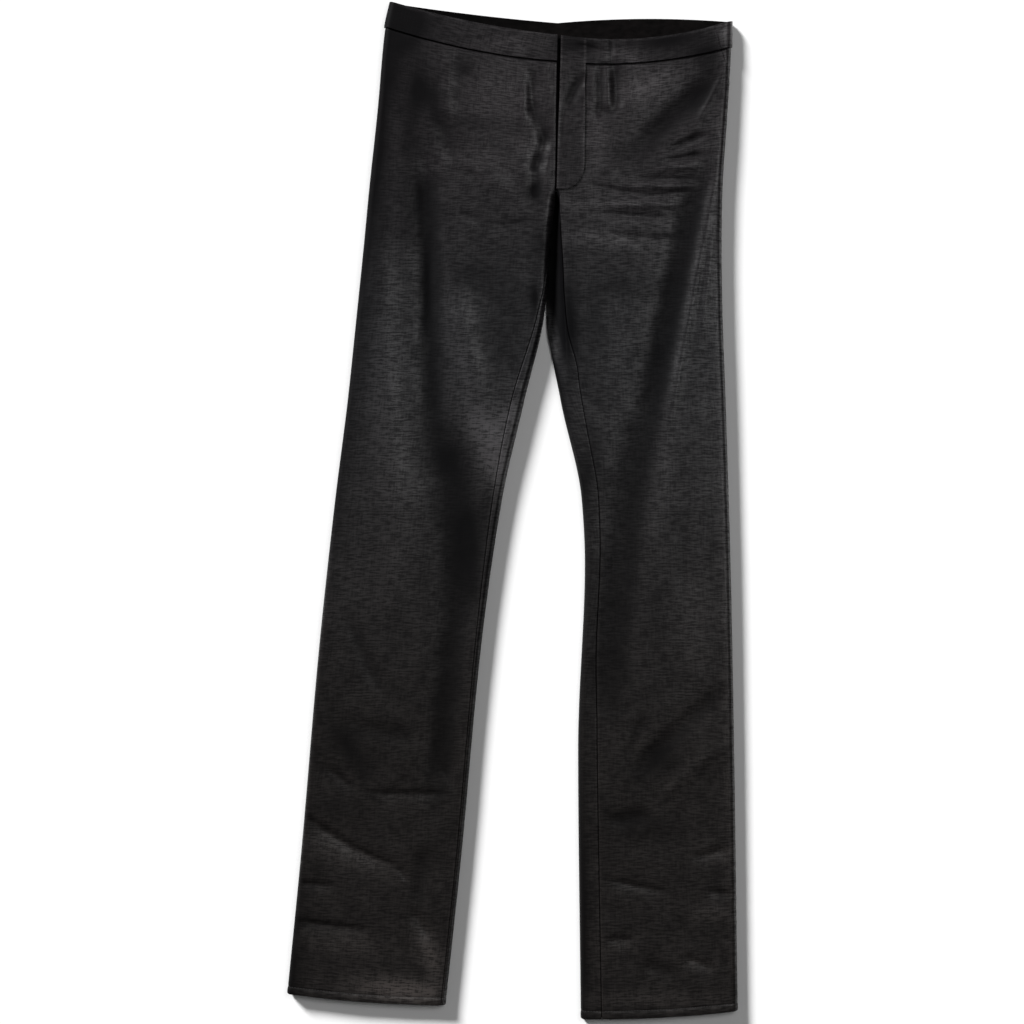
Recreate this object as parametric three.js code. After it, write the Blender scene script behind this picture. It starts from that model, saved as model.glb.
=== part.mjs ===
// Low-rise straight-leg jeans in black coated denim, laid flat with the front up and the waist towards +Y.
// Millimetres, +Z up, origin under the middle of the bounding box. Left and right are the wearer's, so the
// right leg lies at -X. Each piece of cloth is a wall built on one surface: a row of flattened rings, one for
// each level from the waist to the hem, which is shared by both halves as far as the crotch and then parts
// into two leg tubes.
import * as THREE from 'three';

// ---- Cloth ----
const CLOTH = 1.1; // one layer of coated denim
const BAND_CLOTH = 2.4; // waistband, two layers
const HEM_CLOTH = 2.3; // turned-up hem, two layers
const SHIELD_CLOTH = 1.1; // underlap behind the fly slot
const SEAM_GAP = 0.3; // between pieces that are sewn together
const LIFT = 0.3; // between a panel and what lies on it
const CROTCH_EASE = { gap: 0.9, over: 34 }; // more gap where the four panels meet

// ---- Levels: how far down the garment a row of cloth lies, from the highest corner of the waist ----
const BAND_LEVEL = 29; // seam under the waistband
const PLACKET_LEVEL = 207; // lowest point of the fly placket
const DIP_LEVEL = 212; // the fronts start to dip between the legs
const DIP_END_LEVEL = 244;
const BACK_DIP_LEVEL = 226; // the backs start to rise to meet them
const CROTCH_LEVEL = 272; // the four panels meet
const SPLIT_LEVEL = 340; // the legs part
const HEM_LEVEL = 1100;
const HEM_DEPTH = 9;

// ---- Fly ----
const PLACKET_WIDTH = 31;
const PLACKET_CURVE = { across: 20, rise: 34 }; // the rounded corner of its J
const SLOT = { top: 3.2, bottom: 0.8 }; // width of the slot beside the placket
const SHIELD = { reachRight: 9, reachLeft: 20, sunk: 2 };

// ---- Rolled edges of the flattened rings ----
// share is the height of the outer edge as a share of the loft
const OUTER_ROLL = { above: 7, below: 5, share: 0.42 };
const FOLD_FADE = 9; // folds fade out over this width beside a rolled edge
const INNER_FOOT = 4; // width of the roll under the inner edge
const INNER_EDGE = { right: 4.5, left: 3.5 }; // height of the inner edge above the floor
const SIDE_SEAM_RIGHT = -4; // along the cloth from the outer edge; below it when negative

// Puts the middle of the box on the origin: the tables count from a point a little off it.
const CENTRE_Y = 0.45;

// Plan of each half, a row for each level: the outer edge, then the centre line or the inner edge, which on
// the back is at backY. bow is how far the row sags between the two on the front, and backBow on the back.
const PLAN = {
  right: [
    { level: 0, outX: -135, outY: 562, inX: 50, inY: 525, backY: 540, bow: 4.5, backBow: 1.7 },
    { level: 29, outX: -141, outY: 534, inX: 49.5, inY: 496, backY: 511, bow: 6, backBow: 1.7 },
    { level: 120, outX: -149.5, outY: 442, inX: 48.5, inY: 424, backY: 433, bow: 3, backBow: 1 },
    { level: 209, outX: -159, outY: 353, inX: 47.5, inY: 353, backY: 355, bow: 0, backBow: 0 },
    { level: 272, outX: -165, outY: 290, inX: 40.5, inY: 290, backY: 290, bow: 0, backBow: 0 },
    { level: 340, outX: -172, outY: 222, inX: 36, inY: 222, backY: 222, bow: 0, backBow: 0 },
    { level: 440, outX: -182.5, outY: 122, inX: 13.5, inY: 122, backY: 122, bow: 0, backBow: 0 },
    { level: 551, outX: -196.5, outY: 11, inX: -11.5, inY: 11, backY: 11, bow: 0, backBow: 0 },
    { level: 717, outX: -214.5, outY: -155, inX: -35, inY: -155, backY: -155, bow: 0, backBow: 0 },
    { level: 940, outX: -234, outY: -378, inX: -56, inY: -378, backY: -378, bow: 1, backBow: 1 },
    { level: 1100, outX: -249.5, outY: -535, inX: -74, inY: -548, backY: -548, bow: 3, backBow: 3 },
  ],
  left: [
    { level: 0, outX: 242.5, outY: 541, inX: 50, inY: 525, backY: 540, bow: 11.5, backBow: -4.2 },
    { level: 29, outX: 242, outY: 512, inX: 49.5, inY: 496, backY: 511, bow: 9, backBow: -3.5 },
    { level: 120, outX: 237.5, outY: 431, inX: 48.5, inY: 424, backY: 433, bow: 4, backBow: -1 },
    { level: 209, outX: 232.5, outY: 353, inX: 47.5, inY: 353, backY: 355, bow: 0, backBow: 0 },
    { level: 272, outX: 231.5, outY: 290, inX: 40.5, inY: 290, backY: 290, bow: 0, backBow: 0 },
    { level: 340, outX: 232.5, outY: 222, inX: 37, inY: 222, backY: 222, bow: 0, backBow: 0 },
    { level: 440, outX: 236, outY: 122, inX: 53, inY: 122, backY: 122, bow: 0, backBow: 0 },
    { level: 551, outX: 239.5, outY: 11, inX: 76.5, inY: 11, backY: 11, bow: 0, backBow: 0 },
    { level: 620, outX: 241.5, outY: -58, inX: 80, inY: -58, backY: -58, bow: 0, backBow: 0 },
    { level: 828, outX: 245.5, outY: -266, inX: 72.5, inY: -266, backY: -266, bow: 0, backBow: 0 },
    { level: 1100, outX: 249.5, outY: -554, inX: 75.5, inY: -563, backY: -563, bow: 3, backBow: 3 },
  ],
};

// Height of the front cloth above the floor.
const LOFT = [
  { level: 0, height: 13.5 },
  { level: 60, height: 15.5 },
  { level: 225, height: 17.5 },
  { level: 340, height: 17 },
  { level: 551, height: 14 },
  { level: 828, height: 12 },
  { level: 1100, height: 11 },
];

// Width of the roll along the inner edge. On the left leg the inner thigh leans out from under the front.
const INNER_ROLL = {
  right: [
    { level: 209, width: 5 },
    { level: 440, width: 7 },
    { level: 1100, width: 6 },
  ],
  left: [
    { level: 209, width: 5 },
    { level: 244, width: 6 },
    { level: 291, width: 15 },
    { level: 350, width: 20 },
    { level: 403, width: 13 },
    { level: 450, width: 12 },
    { level: 508, width: 6.5 },
    { level: 1100, width: 6 },
  ],
};

// Where the seams lie, along the cloth: the side seam from the outer edge, the inseam from the inner edge.
const LEFT_SIDE_SEAM = [
  { level: 0, along: 25 },
  { level: 29, along: 17 },
  { level: 60, along: 9 },
  { level: 110, along: 5 },
  { level: 1100, along: 5 },
];
const INSEAM = {
  right: [
    { level: 272, along: 0 },
    { level: 300, along: 8 },
    { level: 345, along: 16 },
    { level: 447, along: 22 },
    { level: 540, along: 18 },
    { level: 800, along: 12 },
    { level: 1100, along: 11 },
  ],
  left: [
    { level: 272, along: 0 },
    { level: 300, along: 13 },
    { level: 345, along: 24 },
    { level: 418, along: 31 },
    { level: 527, along: 28 },
    { level: 700, along: 24 },
    { level: 812, along: 29 },
    { level: 1100, along: 31 },
  ],
};

// The largest folds of the front, as soft troughs (depth below 0) or ridges. Each runs from one point to the
// other, bowed sideways by bend, and fades over width on both sides.
const FOLDS = [
  { x1: -106, y1: 395, x2: -84, y2: 70, bend: 3, width: 14, depth: -4 },
  { x1: -84, y1: 120, x2: -72, y2: -320, bend: 9, width: 17, depth: -3.5 },
  { x1: -86, y1: 90, x2: -20, y2: -8, bend: -4, width: 15, depth: -3 },
  { x1: -134, y1: 330, x2: -124, y2: 10, bend: 0, width: 18, depth: 2.2 },
  { x1: -62, y1: 260, x2: -12, y2: 50, bend: 3, width: 17, depth: 2.2 },
  { x1: 214, y1: 385, x2: 102, y2: -175, bend: 5, width: 13, depth: -4.5 },
  { x1: 222, y1: 350, x2: 155, y2: -20, bend: 4, width: 13, depth: 2.2 },
  { x1: 228, y1: 492, x2: 112, y2: 394, bend: -4, width: 12, depth: -3.2 },
  { x1: -128, y1: 470, x2: -96, y2: 350, bend: 4, width: 14, depth: -2.6 },
  { x1: 232, y1: -196, x2: 128, y2: -292, bend: 4, width: 12, depth: -2.6 },
  { x1: -228, y1: -352, x2: -114, y2: -402, bend: -6, width: 9, depth: 2 },
];

// ---- Small maths ----
const mix = (a, b, share) => a + (b - a) * share;

function smooth(from, to, value) {
  const share = THREE.MathUtils.clamp((value - from) / (to - from), 0, 1);
  return share * share * (3 - 2 * share);
}

// A column of a table at any level, on a smooth curve through its rows.
function at(rows, column, level) {
  const last = rows.length - 1;
  if (level <= rows[0].level) return rows[0][column];
  if (level >= rows[last].level) return rows[last][column];
  const k = rows.findIndex((row) => row.level > level) - 1;
  const rise = (i) => (rows[i + 1][column] - rows[i][column]) / (rows[i + 1].level - rows[i].level);
  const slope = (i) => {
    if (i === 0 || i === last) return rise(Math.min(i, last - 1));
    const before = rise(i - 1);
    const after = rise(i);
    return before * after <= 0 ? 0 : (2 * before * after) / (before + after);
  };
  const step = rows[k + 1].level - rows[k].level;
  const t = (level - rows[k].level) / step;
  return (
    rows[k][column] * (1 + 2 * t) * (1 - t) ** 2 +
    slope(k) * step * t * (1 - t) ** 2 +
    rows[k + 1][column] * t * t * (3 - 2 * t) +
    slope(k + 1) * step * t * t * (t - 1)
  );
}

// Height that the folds add to the front at a point of the plan.
function foldHeight(x, y) {
  let height = 0;
  for (const fold of FOLDS) {
    const dx = fold.x2 - fold.x1;
    const dy = fold.y2 - fold.y1;
    const length = Math.hypot(dx, dy);
    const along = ((x - fold.x1) * dx + (y - fold.y1) * dy) / (length * length);
    if (along <= 0 || along >= 1) continue;
    const middle = fold.bend * 4 * along * (1 - along);
    const across = ((x - fold.x1) * dy - (y - fold.y1) * dx) / length - middle;
    const ends = smooth(0, 0.25, along) * smooth(0, 0.25, 1 - along);
    height += fold.depth * ends * Math.exp(-((across / fold.width) ** 2));
  }
  return height;
}

// ---- The surface ----
const RIM_STEPS = 7;
const TOP_STEPS = 18;
const FLOOR_STEPS = 8;

// One ring of a half at a level, as two polylines that both start at the outer edge: over the front (top)
// and under the back (bottom), each with its lengths along the cloth.
function makeRing(half, level) {
  const plan = PLAN[half];
  const columns = ['outX', 'outY', 'inX', 'inY', 'backY', 'bow', 'backBow'];
  const [outX, outY, inX, inY, backY, bow, backBow] = columns.map((column) => at(plan, column, level));
  const toCentre = Math.sign(inX - outX);
  const width = Math.hypot(inX - outX, inY - outY) - SEAM_GAP / 2;
  const loft = at(LOFT, 'height', level);
  const roll = at(INNER_ROLL[half], 'width', level);
  const dip = smooth(DIP_LEVEL, DIP_END_LEVEL, level);
  const edge = INNER_EDGE[half];
  const frontEnd = mix(loft, edge, dip); // height of the front cloth at the centre or inner edge
  const backEnd = edge * smooth(BACK_DIP_LEVEL, CROTCH_LEVEL, level);
  const outerEdge = loft * OUTER_ROLL.share;

  const place = (w, z, front) => {
    const share = w / width;
    const sag = (front ? bow : backBow) * 4 * share * (1 - share);
    const x = mix(outX, inX, share) - (toCentre * SEAM_GAP * share) / 2;
    const y = mix(outY, front ? inY : backY, share) - sag;
    const nearInner = 1 - smooth(0, roll + FOLD_FADE, width - w);
    const fade = smooth(0, OUTER_ROLL.above + FOLD_FADE, w) * (1 - dip * nearInner);
    return new THREE.Vector3(x, y, front ? z + foldHeight(x, y) * fade : z);
  };
  const quarter = (k) => (k / RIM_STEPS) * (Math.PI / 2);
  const top = [];
  const bottom = [];
  for (let k = 0; k <= RIM_STEPS; k++) {
    const [s, c] = [Math.sin(quarter(k)), Math.cos(quarter(k))];
    top.push(place(OUTER_ROLL.above * (1 - c), outerEdge + (loft - outerEdge) * s, true));
    bottom.push(place(OUTER_ROLL.below * (1 - c), outerEdge * (1 - s), false));
  }
  for (let k = 1; k < TOP_STEPS; k++)
    top.push(place(mix(OUTER_ROLL.above, width - roll, k / TOP_STEPS), loft, true));
  for (let k = 1; k < FLOOR_STEPS; k++)
    bottom.push(place(mix(OUTER_ROLL.below, width - INNER_FOOT, k / FLOOR_STEPS), 0, false));
  for (let k = 0; k <= RIM_STEPS; k++) {
    const [s, c] = [Math.sin(quarter(k)), Math.cos(quarter(k))];
    top.push(place(width - roll * (1 - s), loft - (loft - frontEnd) * (1 - c), true));
    bottom.push(place(width - INNER_FOOT * (1 - s), backEnd * (1 - c), false));
  }
  return { top: measured(top), bottom: measured(bottom) };
}

function measured(points) {
  const lengths = [0];
  for (let k = 1; k < points.length; k++) lengths.push(lengths[k - 1] + points[k].distanceTo(points[k - 1]));
  return { points, lengths, length: lengths[lengths.length - 1] };
}

const rings = new Map();
function ring(half, level) {
  const key = half + level;
  if (!rings.has(key)) rings.set(key, makeRing(half, level));
  return rings.get(key);
}

// A point of the surface. turn says where on the ring: 0 is the outer edge, 1 the end of the front and -1 the
// end of the back. Below the crotch the ring is closed, so past -1 it goes on over the inner edge.
function surface(half, level, turn) {
  const wrapped = turn < -1 ? turn + 2 : turn;
  const { top, bottom } = ring(half, level);
  const side = wrapped >= 0 ? top : bottom;
  const wanted = Math.min(Math.abs(wrapped), 1) * side.length;
  let k = 1;
  while (k < side.points.length - 1 && side.lengths[k] < wanted) k++;
  const share = (wanted - side.lengths[k - 1]) / (side.lengths[k] - side.lengths[k - 1]);
  return side.points[k - 1].clone().lerp(side.points[k], share);
}

const CLEAR_OF_FLOOR = 4;
const NORMAL_REACH = { turn: 0.012, level: 1.5 };

// The outward normal there, from points a little way off on each side.
function outward(half, level, turn) {
  const closed = level > CROTCH_LEVEL;
  const low = closed ? turn - NORMAL_REACH.turn : Math.max(turn - NORMAL_REACH.turn, -1);
  const high = closed ? turn + NORMAL_REACH.turn : Math.min(turn + NORMAL_REACH.turn, 1);
  const across = surface(half, level, high > 1 ? high - 2 : high).sub(surface(half, level, low));
  const above = surface(half, Math.max(level - NORMAL_REACH.level, 0), turn);
  const down = surface(half, level + NORMAL_REACH.level, turn).sub(above);
  const normal = down.cross(across).normalize();
  return half === 'right' ? normal : normal.negate();
}

// Moves a point of the surface out by a distance, or in when it is below 0. Near the floor nothing moves out,
// so that all of the back rests on it.
function moved(half, level, turn, out) {
  const point = surface(half, level, turn);
  const distance = out > 0 ? out * smooth(0, CLEAR_OF_FLOOR, point.z) : out;
  return point.addScaledVector(outward(half, level, turn), distance);
}

// ---- Distances along the cloth ----
// They count from the outer edge: above 0 over the front, below 0 under the back and on over the inner edge.
function turnAt(half, level, distance) {
  const { top, bottom } = ring(half, level);
  if (distance >= 0) return distance / top.length;
  const past = -distance - bottom.length;
  return past > 0 ? -1 - past / top.length : distance / bottom.length;
}

const sideSeam = (half, level) => (half === 'right' ? SIDE_SEAM_RIGHT : at(LEFT_SIDE_SEAM, 'along', level));

const inseam = (half, level) => (level > CROTCH_LEVEL ? at(INSEAM[half], 'along', level) : 0);

// Half the gap at an inner seam, which opens a little where the four panels meet in a tight edge.
const innerGap = (level) =>
  SEAM_GAP / 2 + CROTCH_EASE.gap * (1 - smooth(0, CROTCH_EASE.over, Math.abs(level - CROTCH_LEVEL)));

const slotWidth = (level) => mix(SLOT.top, SLOT.bottom, smooth(0, PLACKET_LEVEL, level));

// ---- A wall of cloth from two grids of points, outer and inner, joined round the rim ----
// keep says which cells of the grid there are. middle, where given, is the true middle of a cell: the cell is
// then cut along the diagonal that passes nearer to it.
function wall({ columns, rows, keep = () => true, outer, inner, middle }) {
  const grid = [];
  for (let j = 0; j <= rows; j++)
    grid.push(Array.from({ length: columns + 1 }, (_, i) => [outer(i, j), inner(i, j)]));
  const positions = [];
  const quad = (a, b, c, d) => [a, b, c, a, c, d].forEach((point) => positions.push(...point));
  const kept = (i, j) => i >= 0 && j >= 0 && i < columns && j < rows && keep(i, j);
  for (let j = 0; j < rows; j++)
    for (let i = 0; i < columns; i++) {
      if (!kept(i, j)) continue;
      let corners = [grid[j][i], grid[j + 1][i], grid[j + 1][i + 1], grid[j][i + 1]];
      const neighbours = [kept(i - 1, j), kept(i, j + 1), kept(i + 1, j), kept(i, j - 1)];
      neighbours.forEach((neighbour, k) => {
        const [start, end] = [corners[k], corners[(k + 1) % 4]];
        if (!neighbour) quad(end[0], start[0], start[1], end[1]);
      });
      const [a, b, c, d] = corners.map((corner) => corner[0]);
      const miss = (from, to) => from.clone().lerp(to, 0.5).distanceTo(middle(i, j));
      if (middle && miss(b, d) < miss(a, c)) corners = [...corners.slice(1), corners[0]];
      quad(...corners.map((corner) => corner[0]));
      quad(...[0, 3, 2, 1].map((k) => corners[k][1]));
    }
  const geometry = new THREE.BufferGeometry();
  geometry.setAttribute('position', new THREE.Float32BufferAttribute(positions, 3));
  return facingOut(geometry);
}

// Turns every triangle round if the solid they enclose has a negative volume.
function facingOut(geometry) {
  const p = geometry.getAttribute('position');
  const [a, b, c] = [new THREE.Vector3(), new THREE.Vector3(), new THREE.Vector3()];
  let volume = 0;
  for (let k = 0; k < p.count; k += 3) {
    [a, b, c].forEach((corner, n) => corner.fromBufferAttribute(p, k + n));
    volume += a.dot(b.cross(c));
  }
  if (volume < 0)
    for (let k = 0; k < p.count; k += 3) {
      [b, c].forEach((corner, n) => corner.fromBufferAttribute(p, k + 1 + n));
      p.setXYZ(k + 1, ...c);
      p.setXYZ(k + 2, ...b);
    }
  geometry.computeVertexNormals();
  return geometry;
}

// Columns between two places: some at set distances from each end, where the cloth rolls over an edge, and
// the rest evenly between them.
function spread(from, to, fromStart, fromEnd, between) {
  const way = Math.sign(to - from);
  const first = fromStart.map((distance) => from + way * distance);
  const last = fromEnd.map((distance) => to - way * distance).reverse();
  const middle = (k) => mix(first[first.length - 1], last[0], (k + 1) / (between + 1));
  return [...first, ...Array.from({ length: between }, (_, k) => middle(k)), ...last];
}

// Levels from one to another in steps of about a size.
function steps(from, to, size) {
  const count = Math.max(1, Math.round((to - from) / size));
  return Array.from({ length: count }, (_, k) => mix(from, to, k / count));
}

// ---- Panels ----
const OVER_OUTER_EDGE = [0, 4, 9, 14, 22]; // distances of the columns from the side seam
const PANEL_TOP = BAND_LEVEL + 0.4;
const HEM_TOP = HEM_LEVEL - HEM_DEPTH;
const PANEL_LEVELS = [
  ...steps(PANEL_TOP, DIP_LEVEL, 26),
  ...steps(DIP_LEVEL, CROTCH_LEVEL, 8),
  ...steps(CROTCH_LEVEL, SPLIT_LEVEL, 17),
  ...steps(SPLIT_LEVEL, HEM_TOP - 0.6, 70),
  HEM_TOP - 0.6,
  HEM_TOP,
  HEM_LEVEL,
];

const panelCloth = (level) => (level >= HEM_TOP ? HEM_CLOTH : CLOTH);

// A panel from the columns that a function gives for each level, as distances along the cloth.
function panel(half, columnsAt) {
  const between = (list, k) => {
    const low = Math.min(Math.floor(k), list.length - 2);
    return mix(list[low], list[low + 1], k - low);
  };
  const point = (i, j, cloth) => {
    const level = between(PANEL_LEVELS, j);
    return moved(half, level, turnAt(half, level, between(columnsAt(level), i)), -cloth(level));
  };
  return wall({
    columns: columnsAt(PANEL_TOP).length - 1,
    rows: PANEL_LEVELS.length - 1,
    outer: (i, j) => point(i, j, () => 0),
    inner: (i, j) => point(i, j, panelCloth),
    middle: (i, j) => point(i + 0.5, j + 0.5, () => 0),
  });
}

function front(half) {
  return panel(half, (level) => {
    const slot = half === 'left' && level < PLACKET_LEVEL ? slotWidth(level) : 0;
    const end = ring(half, level).top.length - inseam(half, level) - innerGap(level) - slot;
    return spread(sideSeam(half, level) + SEAM_GAP / 2, end, OVER_OUTER_EDGE, [0, 4, 8, 12, 18], 7);
  });
}

// The back's columns follow the cloth over both edges, as far as the side seam and the inseam wrap.
function back(half) {
  return panel(half, (level) => {
    const side = sideSeam(half, level);
    const overInner = inseam(half, level);
    const end = -ring(half, level).bottom.length - overInner + innerGap(level);
    const outer = Math.max(side, 4);
    const inner = Math.max(overInner, 5);
    const fromSide = [0, outer / 2, outer, outer + 4.5, outer + 10];
    const fromInseam = [0, inner / 4, inner / 2, (inner * 3) / 4, inner, inner + 4, inner + 9];
    return spread(side - SEAM_GAP / 2, end, fromSide, fromInseam, 5);
  });
}

// ---- Waistband ----
const BAND_PROUD = LIFT + CLOTH; // above the panels, level with the placket that is cut in one with it
const BAND_INSIDE = BAND_PROUD - BAND_CLOTH;
const BAND_LEVELS = [0, BAND_LEVEL / 2, BAND_LEVEL];

function band(columns, grid) {
  return wall({ columns, rows: BAND_LEVELS.length - 1, outer: grid(BAND_PROUD), inner: grid(BAND_INSIDE) });
}

function bandRight() {
  const columns = BAND_LEVELS.map((level) => {
    const end = ring('right', level).top.length - SEAM_GAP / 2;
    return spread(sideSeam('right', level) + SEAM_GAP / 2, end, OVER_OUTER_EDGE, [0], 7);
  });
  const grid = (out) => (i, j) => {
    const level = BAND_LEVELS[j];
    return moved('right', level, turnAt('right', level, columns[j][i]), out);
  };
  return band(columns[0].length - 1, grid);
}

// The back band runs in one piece from the right side seam, under the centre back, to the left side seam.
function bandBack() {
  const columns = BAND_LEVELS.map((level) => {
    const [right, left] = ['right', 'left'].map((half) => -ring(half, level).bottom.length);
    const over = sideSeam('left', level);
    return {
      right: spread(sideSeam('right', level) - SEAM_GAP / 2, right, [0, 3, 7], [0], 7),
      left: spread(left, over - SEAM_GAP / 2, [0], [0, over / 2, over, over + 5, over + 11], 7),
    };
  });
  const count = columns[0].right.length;
  const grid = (out) => (i, j) => {
    const level = BAND_LEVELS[j];
    const half = i < count ? 'right' : 'left';
    const distance = i < count ? columns[j].right[i] : columns[j].left[i - count + 1];
    const point = moved(half, level, turnAt(half, level, distance), out);
    if (i === count - 1) point.x = at(PLAN.right, 'inX', level);
    return point;
  };
  return band(count + columns[0].left.length - 2, grid);
}

// The lower end of the placket, by distance from the centre line: level, then up round the corner of the J.
function placketEnd(distance) {
  const into = Math.max(0, distance - (PLACKET_WIDTH - PLACKET_CURVE.across)) / PLACKET_CURVE.across;
  return PLACKET_LEVEL - PLACKET_CURVE.rise * (1 - Math.sqrt(Math.max(0, 1 - into * into)));
}

// The left front band and the placket are one L-shaped piece. Its columns start at the slot; those past the
// placket's width stop at the waistband seam.
function bandFlyLeft() {
  const placket = [0, 0.33, 0.58, 0.78, 0.91, 0.975, 1]; // shares of the placket's width
  const placketRows = 9;
  const bandRows = [0, BAND_LEVEL / 2, BAND_LEVEL - 0.3, BAND_LEVEL];
  const rows = bandRows.length - 1 + placketRows;
  const place = (i, j) => {
    const end = placket[Math.min(i, placket.length - 1)];
    const below = Math.max(0, j - bandRows.length + 1) / placketRows;
    const lowest = placketEnd(mix(SLOT.top, PLACKET_WIDTH, end));
    const level = j < bandRows.length ? bandRows[j] : mix(BAND_LEVEL, lowest, below);
    const middle = ring('left', level).top.length;
    const start = middle - SEAM_GAP / 2 - mix(slotWidth(level), PLACKET_WIDTH, end);
    if (i < placket.length) return { level, distance: start };
    const side = sideSeam('left', level) + SEAM_GAP / 2;
    return { level, distance: spread(start, side, [0], [0, 9], 7)[i - placket.length + 1] };
  };
  const columns = placket.length + 8;
  const grid = (out) => (i, j) => {
    const { level, distance } = place(i, j);
    return moved('left', level, turnAt('left', level, distance), out(j));
  };
  return wall({
    columns,
    rows,
    keep: (i, j) => i < placket.length - 1 || j < bandRows.length - 1,
    outer: grid(() => BAND_PROUD),
    inner: grid((j) => (j < bandRows.length - 1 ? BAND_INSIDE : LIFT)),
  });
}

// ---- Shield: a strip under the slot, from the waist to just below the placket ----
function shield() {
  const levels = [1.5, ...steps(22, PLACKET_LEVEL, 31), PLACKET_LEVEL];
  const columns = 4;
  const grid = (down) => (i, j) => {
    const distance = mix(-SHIELD.reachRight, SHIELD.reachLeft, i / columns);
    const half = distance < 0 ? 'right' : 'left';
    const middle = ring(half, levels[j]).top.length;
    const point = surface(half, levels[j], turnAt(half, levels[j], middle - Math.abs(distance)));
    point.z -= down;
    return point;
  };
  const [outer, inner] = [grid(SHIELD.sunk), grid(SHIELD.sunk + SHIELD_CLOTH)];
  return wall({ columns, rows: levels.length - 1, outer, inner });
}

// ---- Finish and assembly ----
const denim = new THREE.MeshStandardMaterial({ color: 0x1b1a1c, roughness: 0.5, metalness: 0 });
const bandDenim = new THREE.MeshStandardMaterial({ color: 0x1d1c1e, roughness: 0.48, metalness: 0 });
const shieldDenim = new THREE.MeshStandardMaterial({ color: 0x121213, roughness: 0.7, metalness: 0 });

const jeans = new THREE.Group();

function sew(name, geometry, material) {
  const mesh = new THREE.Mesh(geometry, material);
  mesh.name = name;
  jeans.add(mesh);
}

sew('front_right', front('right'), denim);
sew('front_left', front('left'), denim);
sew('back_right', back('right'), denim);
sew('back_left', back('left'), denim);
sew('waistband_right', bandRight(), bandDenim);
sew('waistband_fly_left', bandFlyLeft(), bandDenim);
sew('waistband_back', bandBack(), bandDenim);
sew('fly_shield', shield(), shieldDenim);
jeans.position.y = CENTRE_Y;

export default jeans;
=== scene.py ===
# %% [markdown]
# # Black coated-denim jeans, laid flat
#
# A pair of low-rise, straight-leg jeans lies on a pale floor with the front up and the waist towards +Y.
# Left and right are the wearer's, so the right leg lies at -X. The frame that is loaded here is the
# measured model of the jeans, as plain walls of cloth. This lesson puts worn cloth in the place of each
# wall, with its folds, its seams, a turned-up hem and a waxy weave.
#
# Sizes are worked out in millimetres, because that is how a garment is measured, and turned into metres
# when a mesh is made.

import math

import bmesh
import bpy
import numpy as np
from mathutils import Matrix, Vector


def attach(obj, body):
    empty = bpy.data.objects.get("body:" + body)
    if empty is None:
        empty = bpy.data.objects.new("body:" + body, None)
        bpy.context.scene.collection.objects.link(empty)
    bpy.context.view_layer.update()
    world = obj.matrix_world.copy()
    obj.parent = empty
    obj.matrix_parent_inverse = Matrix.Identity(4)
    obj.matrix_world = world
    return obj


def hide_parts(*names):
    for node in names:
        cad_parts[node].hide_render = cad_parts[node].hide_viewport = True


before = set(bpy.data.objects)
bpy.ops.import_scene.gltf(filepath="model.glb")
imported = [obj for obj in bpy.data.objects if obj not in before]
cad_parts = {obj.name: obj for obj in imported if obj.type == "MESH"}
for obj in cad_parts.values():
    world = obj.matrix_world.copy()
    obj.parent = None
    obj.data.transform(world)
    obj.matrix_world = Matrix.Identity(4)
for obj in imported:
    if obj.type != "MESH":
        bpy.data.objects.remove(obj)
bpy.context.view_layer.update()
MM = 0.001  # a millimetre, in metres
print("frame:", sorted(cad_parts))

# %% [markdown]
# ## Camera
#
# The jeans are seen from straight above. A flat view without perspective would serve too, but a long lens
# three metres up is what a person at a copy stand would use, and it keeps the hems and the waist at nearly
# the same scale. The lens follows from how wide a strip of floor the view takes in.

# %% Camera
CAMERA_PLACE = (-0.0006, -0.0018, 3.0)
FLOOR_WIDTH = 1.1366  # metres of floor from edge to edge of the view
SENSOR = 36.0  # millimetres

bpy.ops.object.camera_add(location=CAMERA_PLACE, rotation=(0, 0, 0))
camera = bpy.context.object
camera.name = "camera"
camera.data.sensor_width = SENSOR
camera.data.lens = SENSOR * CAMERA_PLACE[2] / FLOOR_WIDTH
bpy.context.scene.camera = camera
print("lens:", round(camera.data.lens, 1), "mm")

# %% [markdown]
# ## Floor and light
#
# The key light comes from the upper left, low enough that an edge of cloth 15 mm high throws a shadow more
# than twice as long. A lamp close by would make that shadow wider at one end of the jeans than at the
# other, so it is a sun, and its angle sets how soft the rim of the shadow is. A broad, weak panel stands
# high on the right, above the camera, and gives the wax its sheen on slopes that fall to the right. An even
# sky fills the shadows.

# %% Floor
FLOOR_LEVEL = -0.0003  # just under the cloth, so that the two never share a plane
FLOOR_SIZE = 40

bpy.ops.object.select_all(action="DESELECT")
bpy.ops.mesh.primitive_plane_add(size=FLOOR_SIZE, location=(0, 0, FLOOR_LEVEL))
floor = bpy.context.object
floor.name = "floor"
print("floor:", [round(side) for side in floor.dimensions], "at", FLOOR_LEVEL)

# %% Light
KEY = {"from": Vector((-1.45, 1.70, 1.0)), "away": 4.0, "strength": 7.0, "angle": 13.0}
PANEL = {"from": Vector((0.35, 0.24, 0.90)), "away": 5.0, "size": 2.6, "power": 50.0}
SKY = 0.075


def aim(lamp, come_from, away):
    """Puts a lamp in a direction from the jeans, facing them."""
    lamp.location = come_from.normalized() * away
    lamp.rotation_euler = come_from.to_track_quat("Z", "Y").to_euler()
    print(lamp.name, [round(c, 2) for c in lamp.location])


bpy.ops.object.light_add(type="SUN")
key = bpy.context.object
key.name = "key_light"
key.data.energy = KEY["strength"]
key.data.angle = math.radians(KEY["angle"])
aim(key, KEY["from"], KEY["away"])

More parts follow.
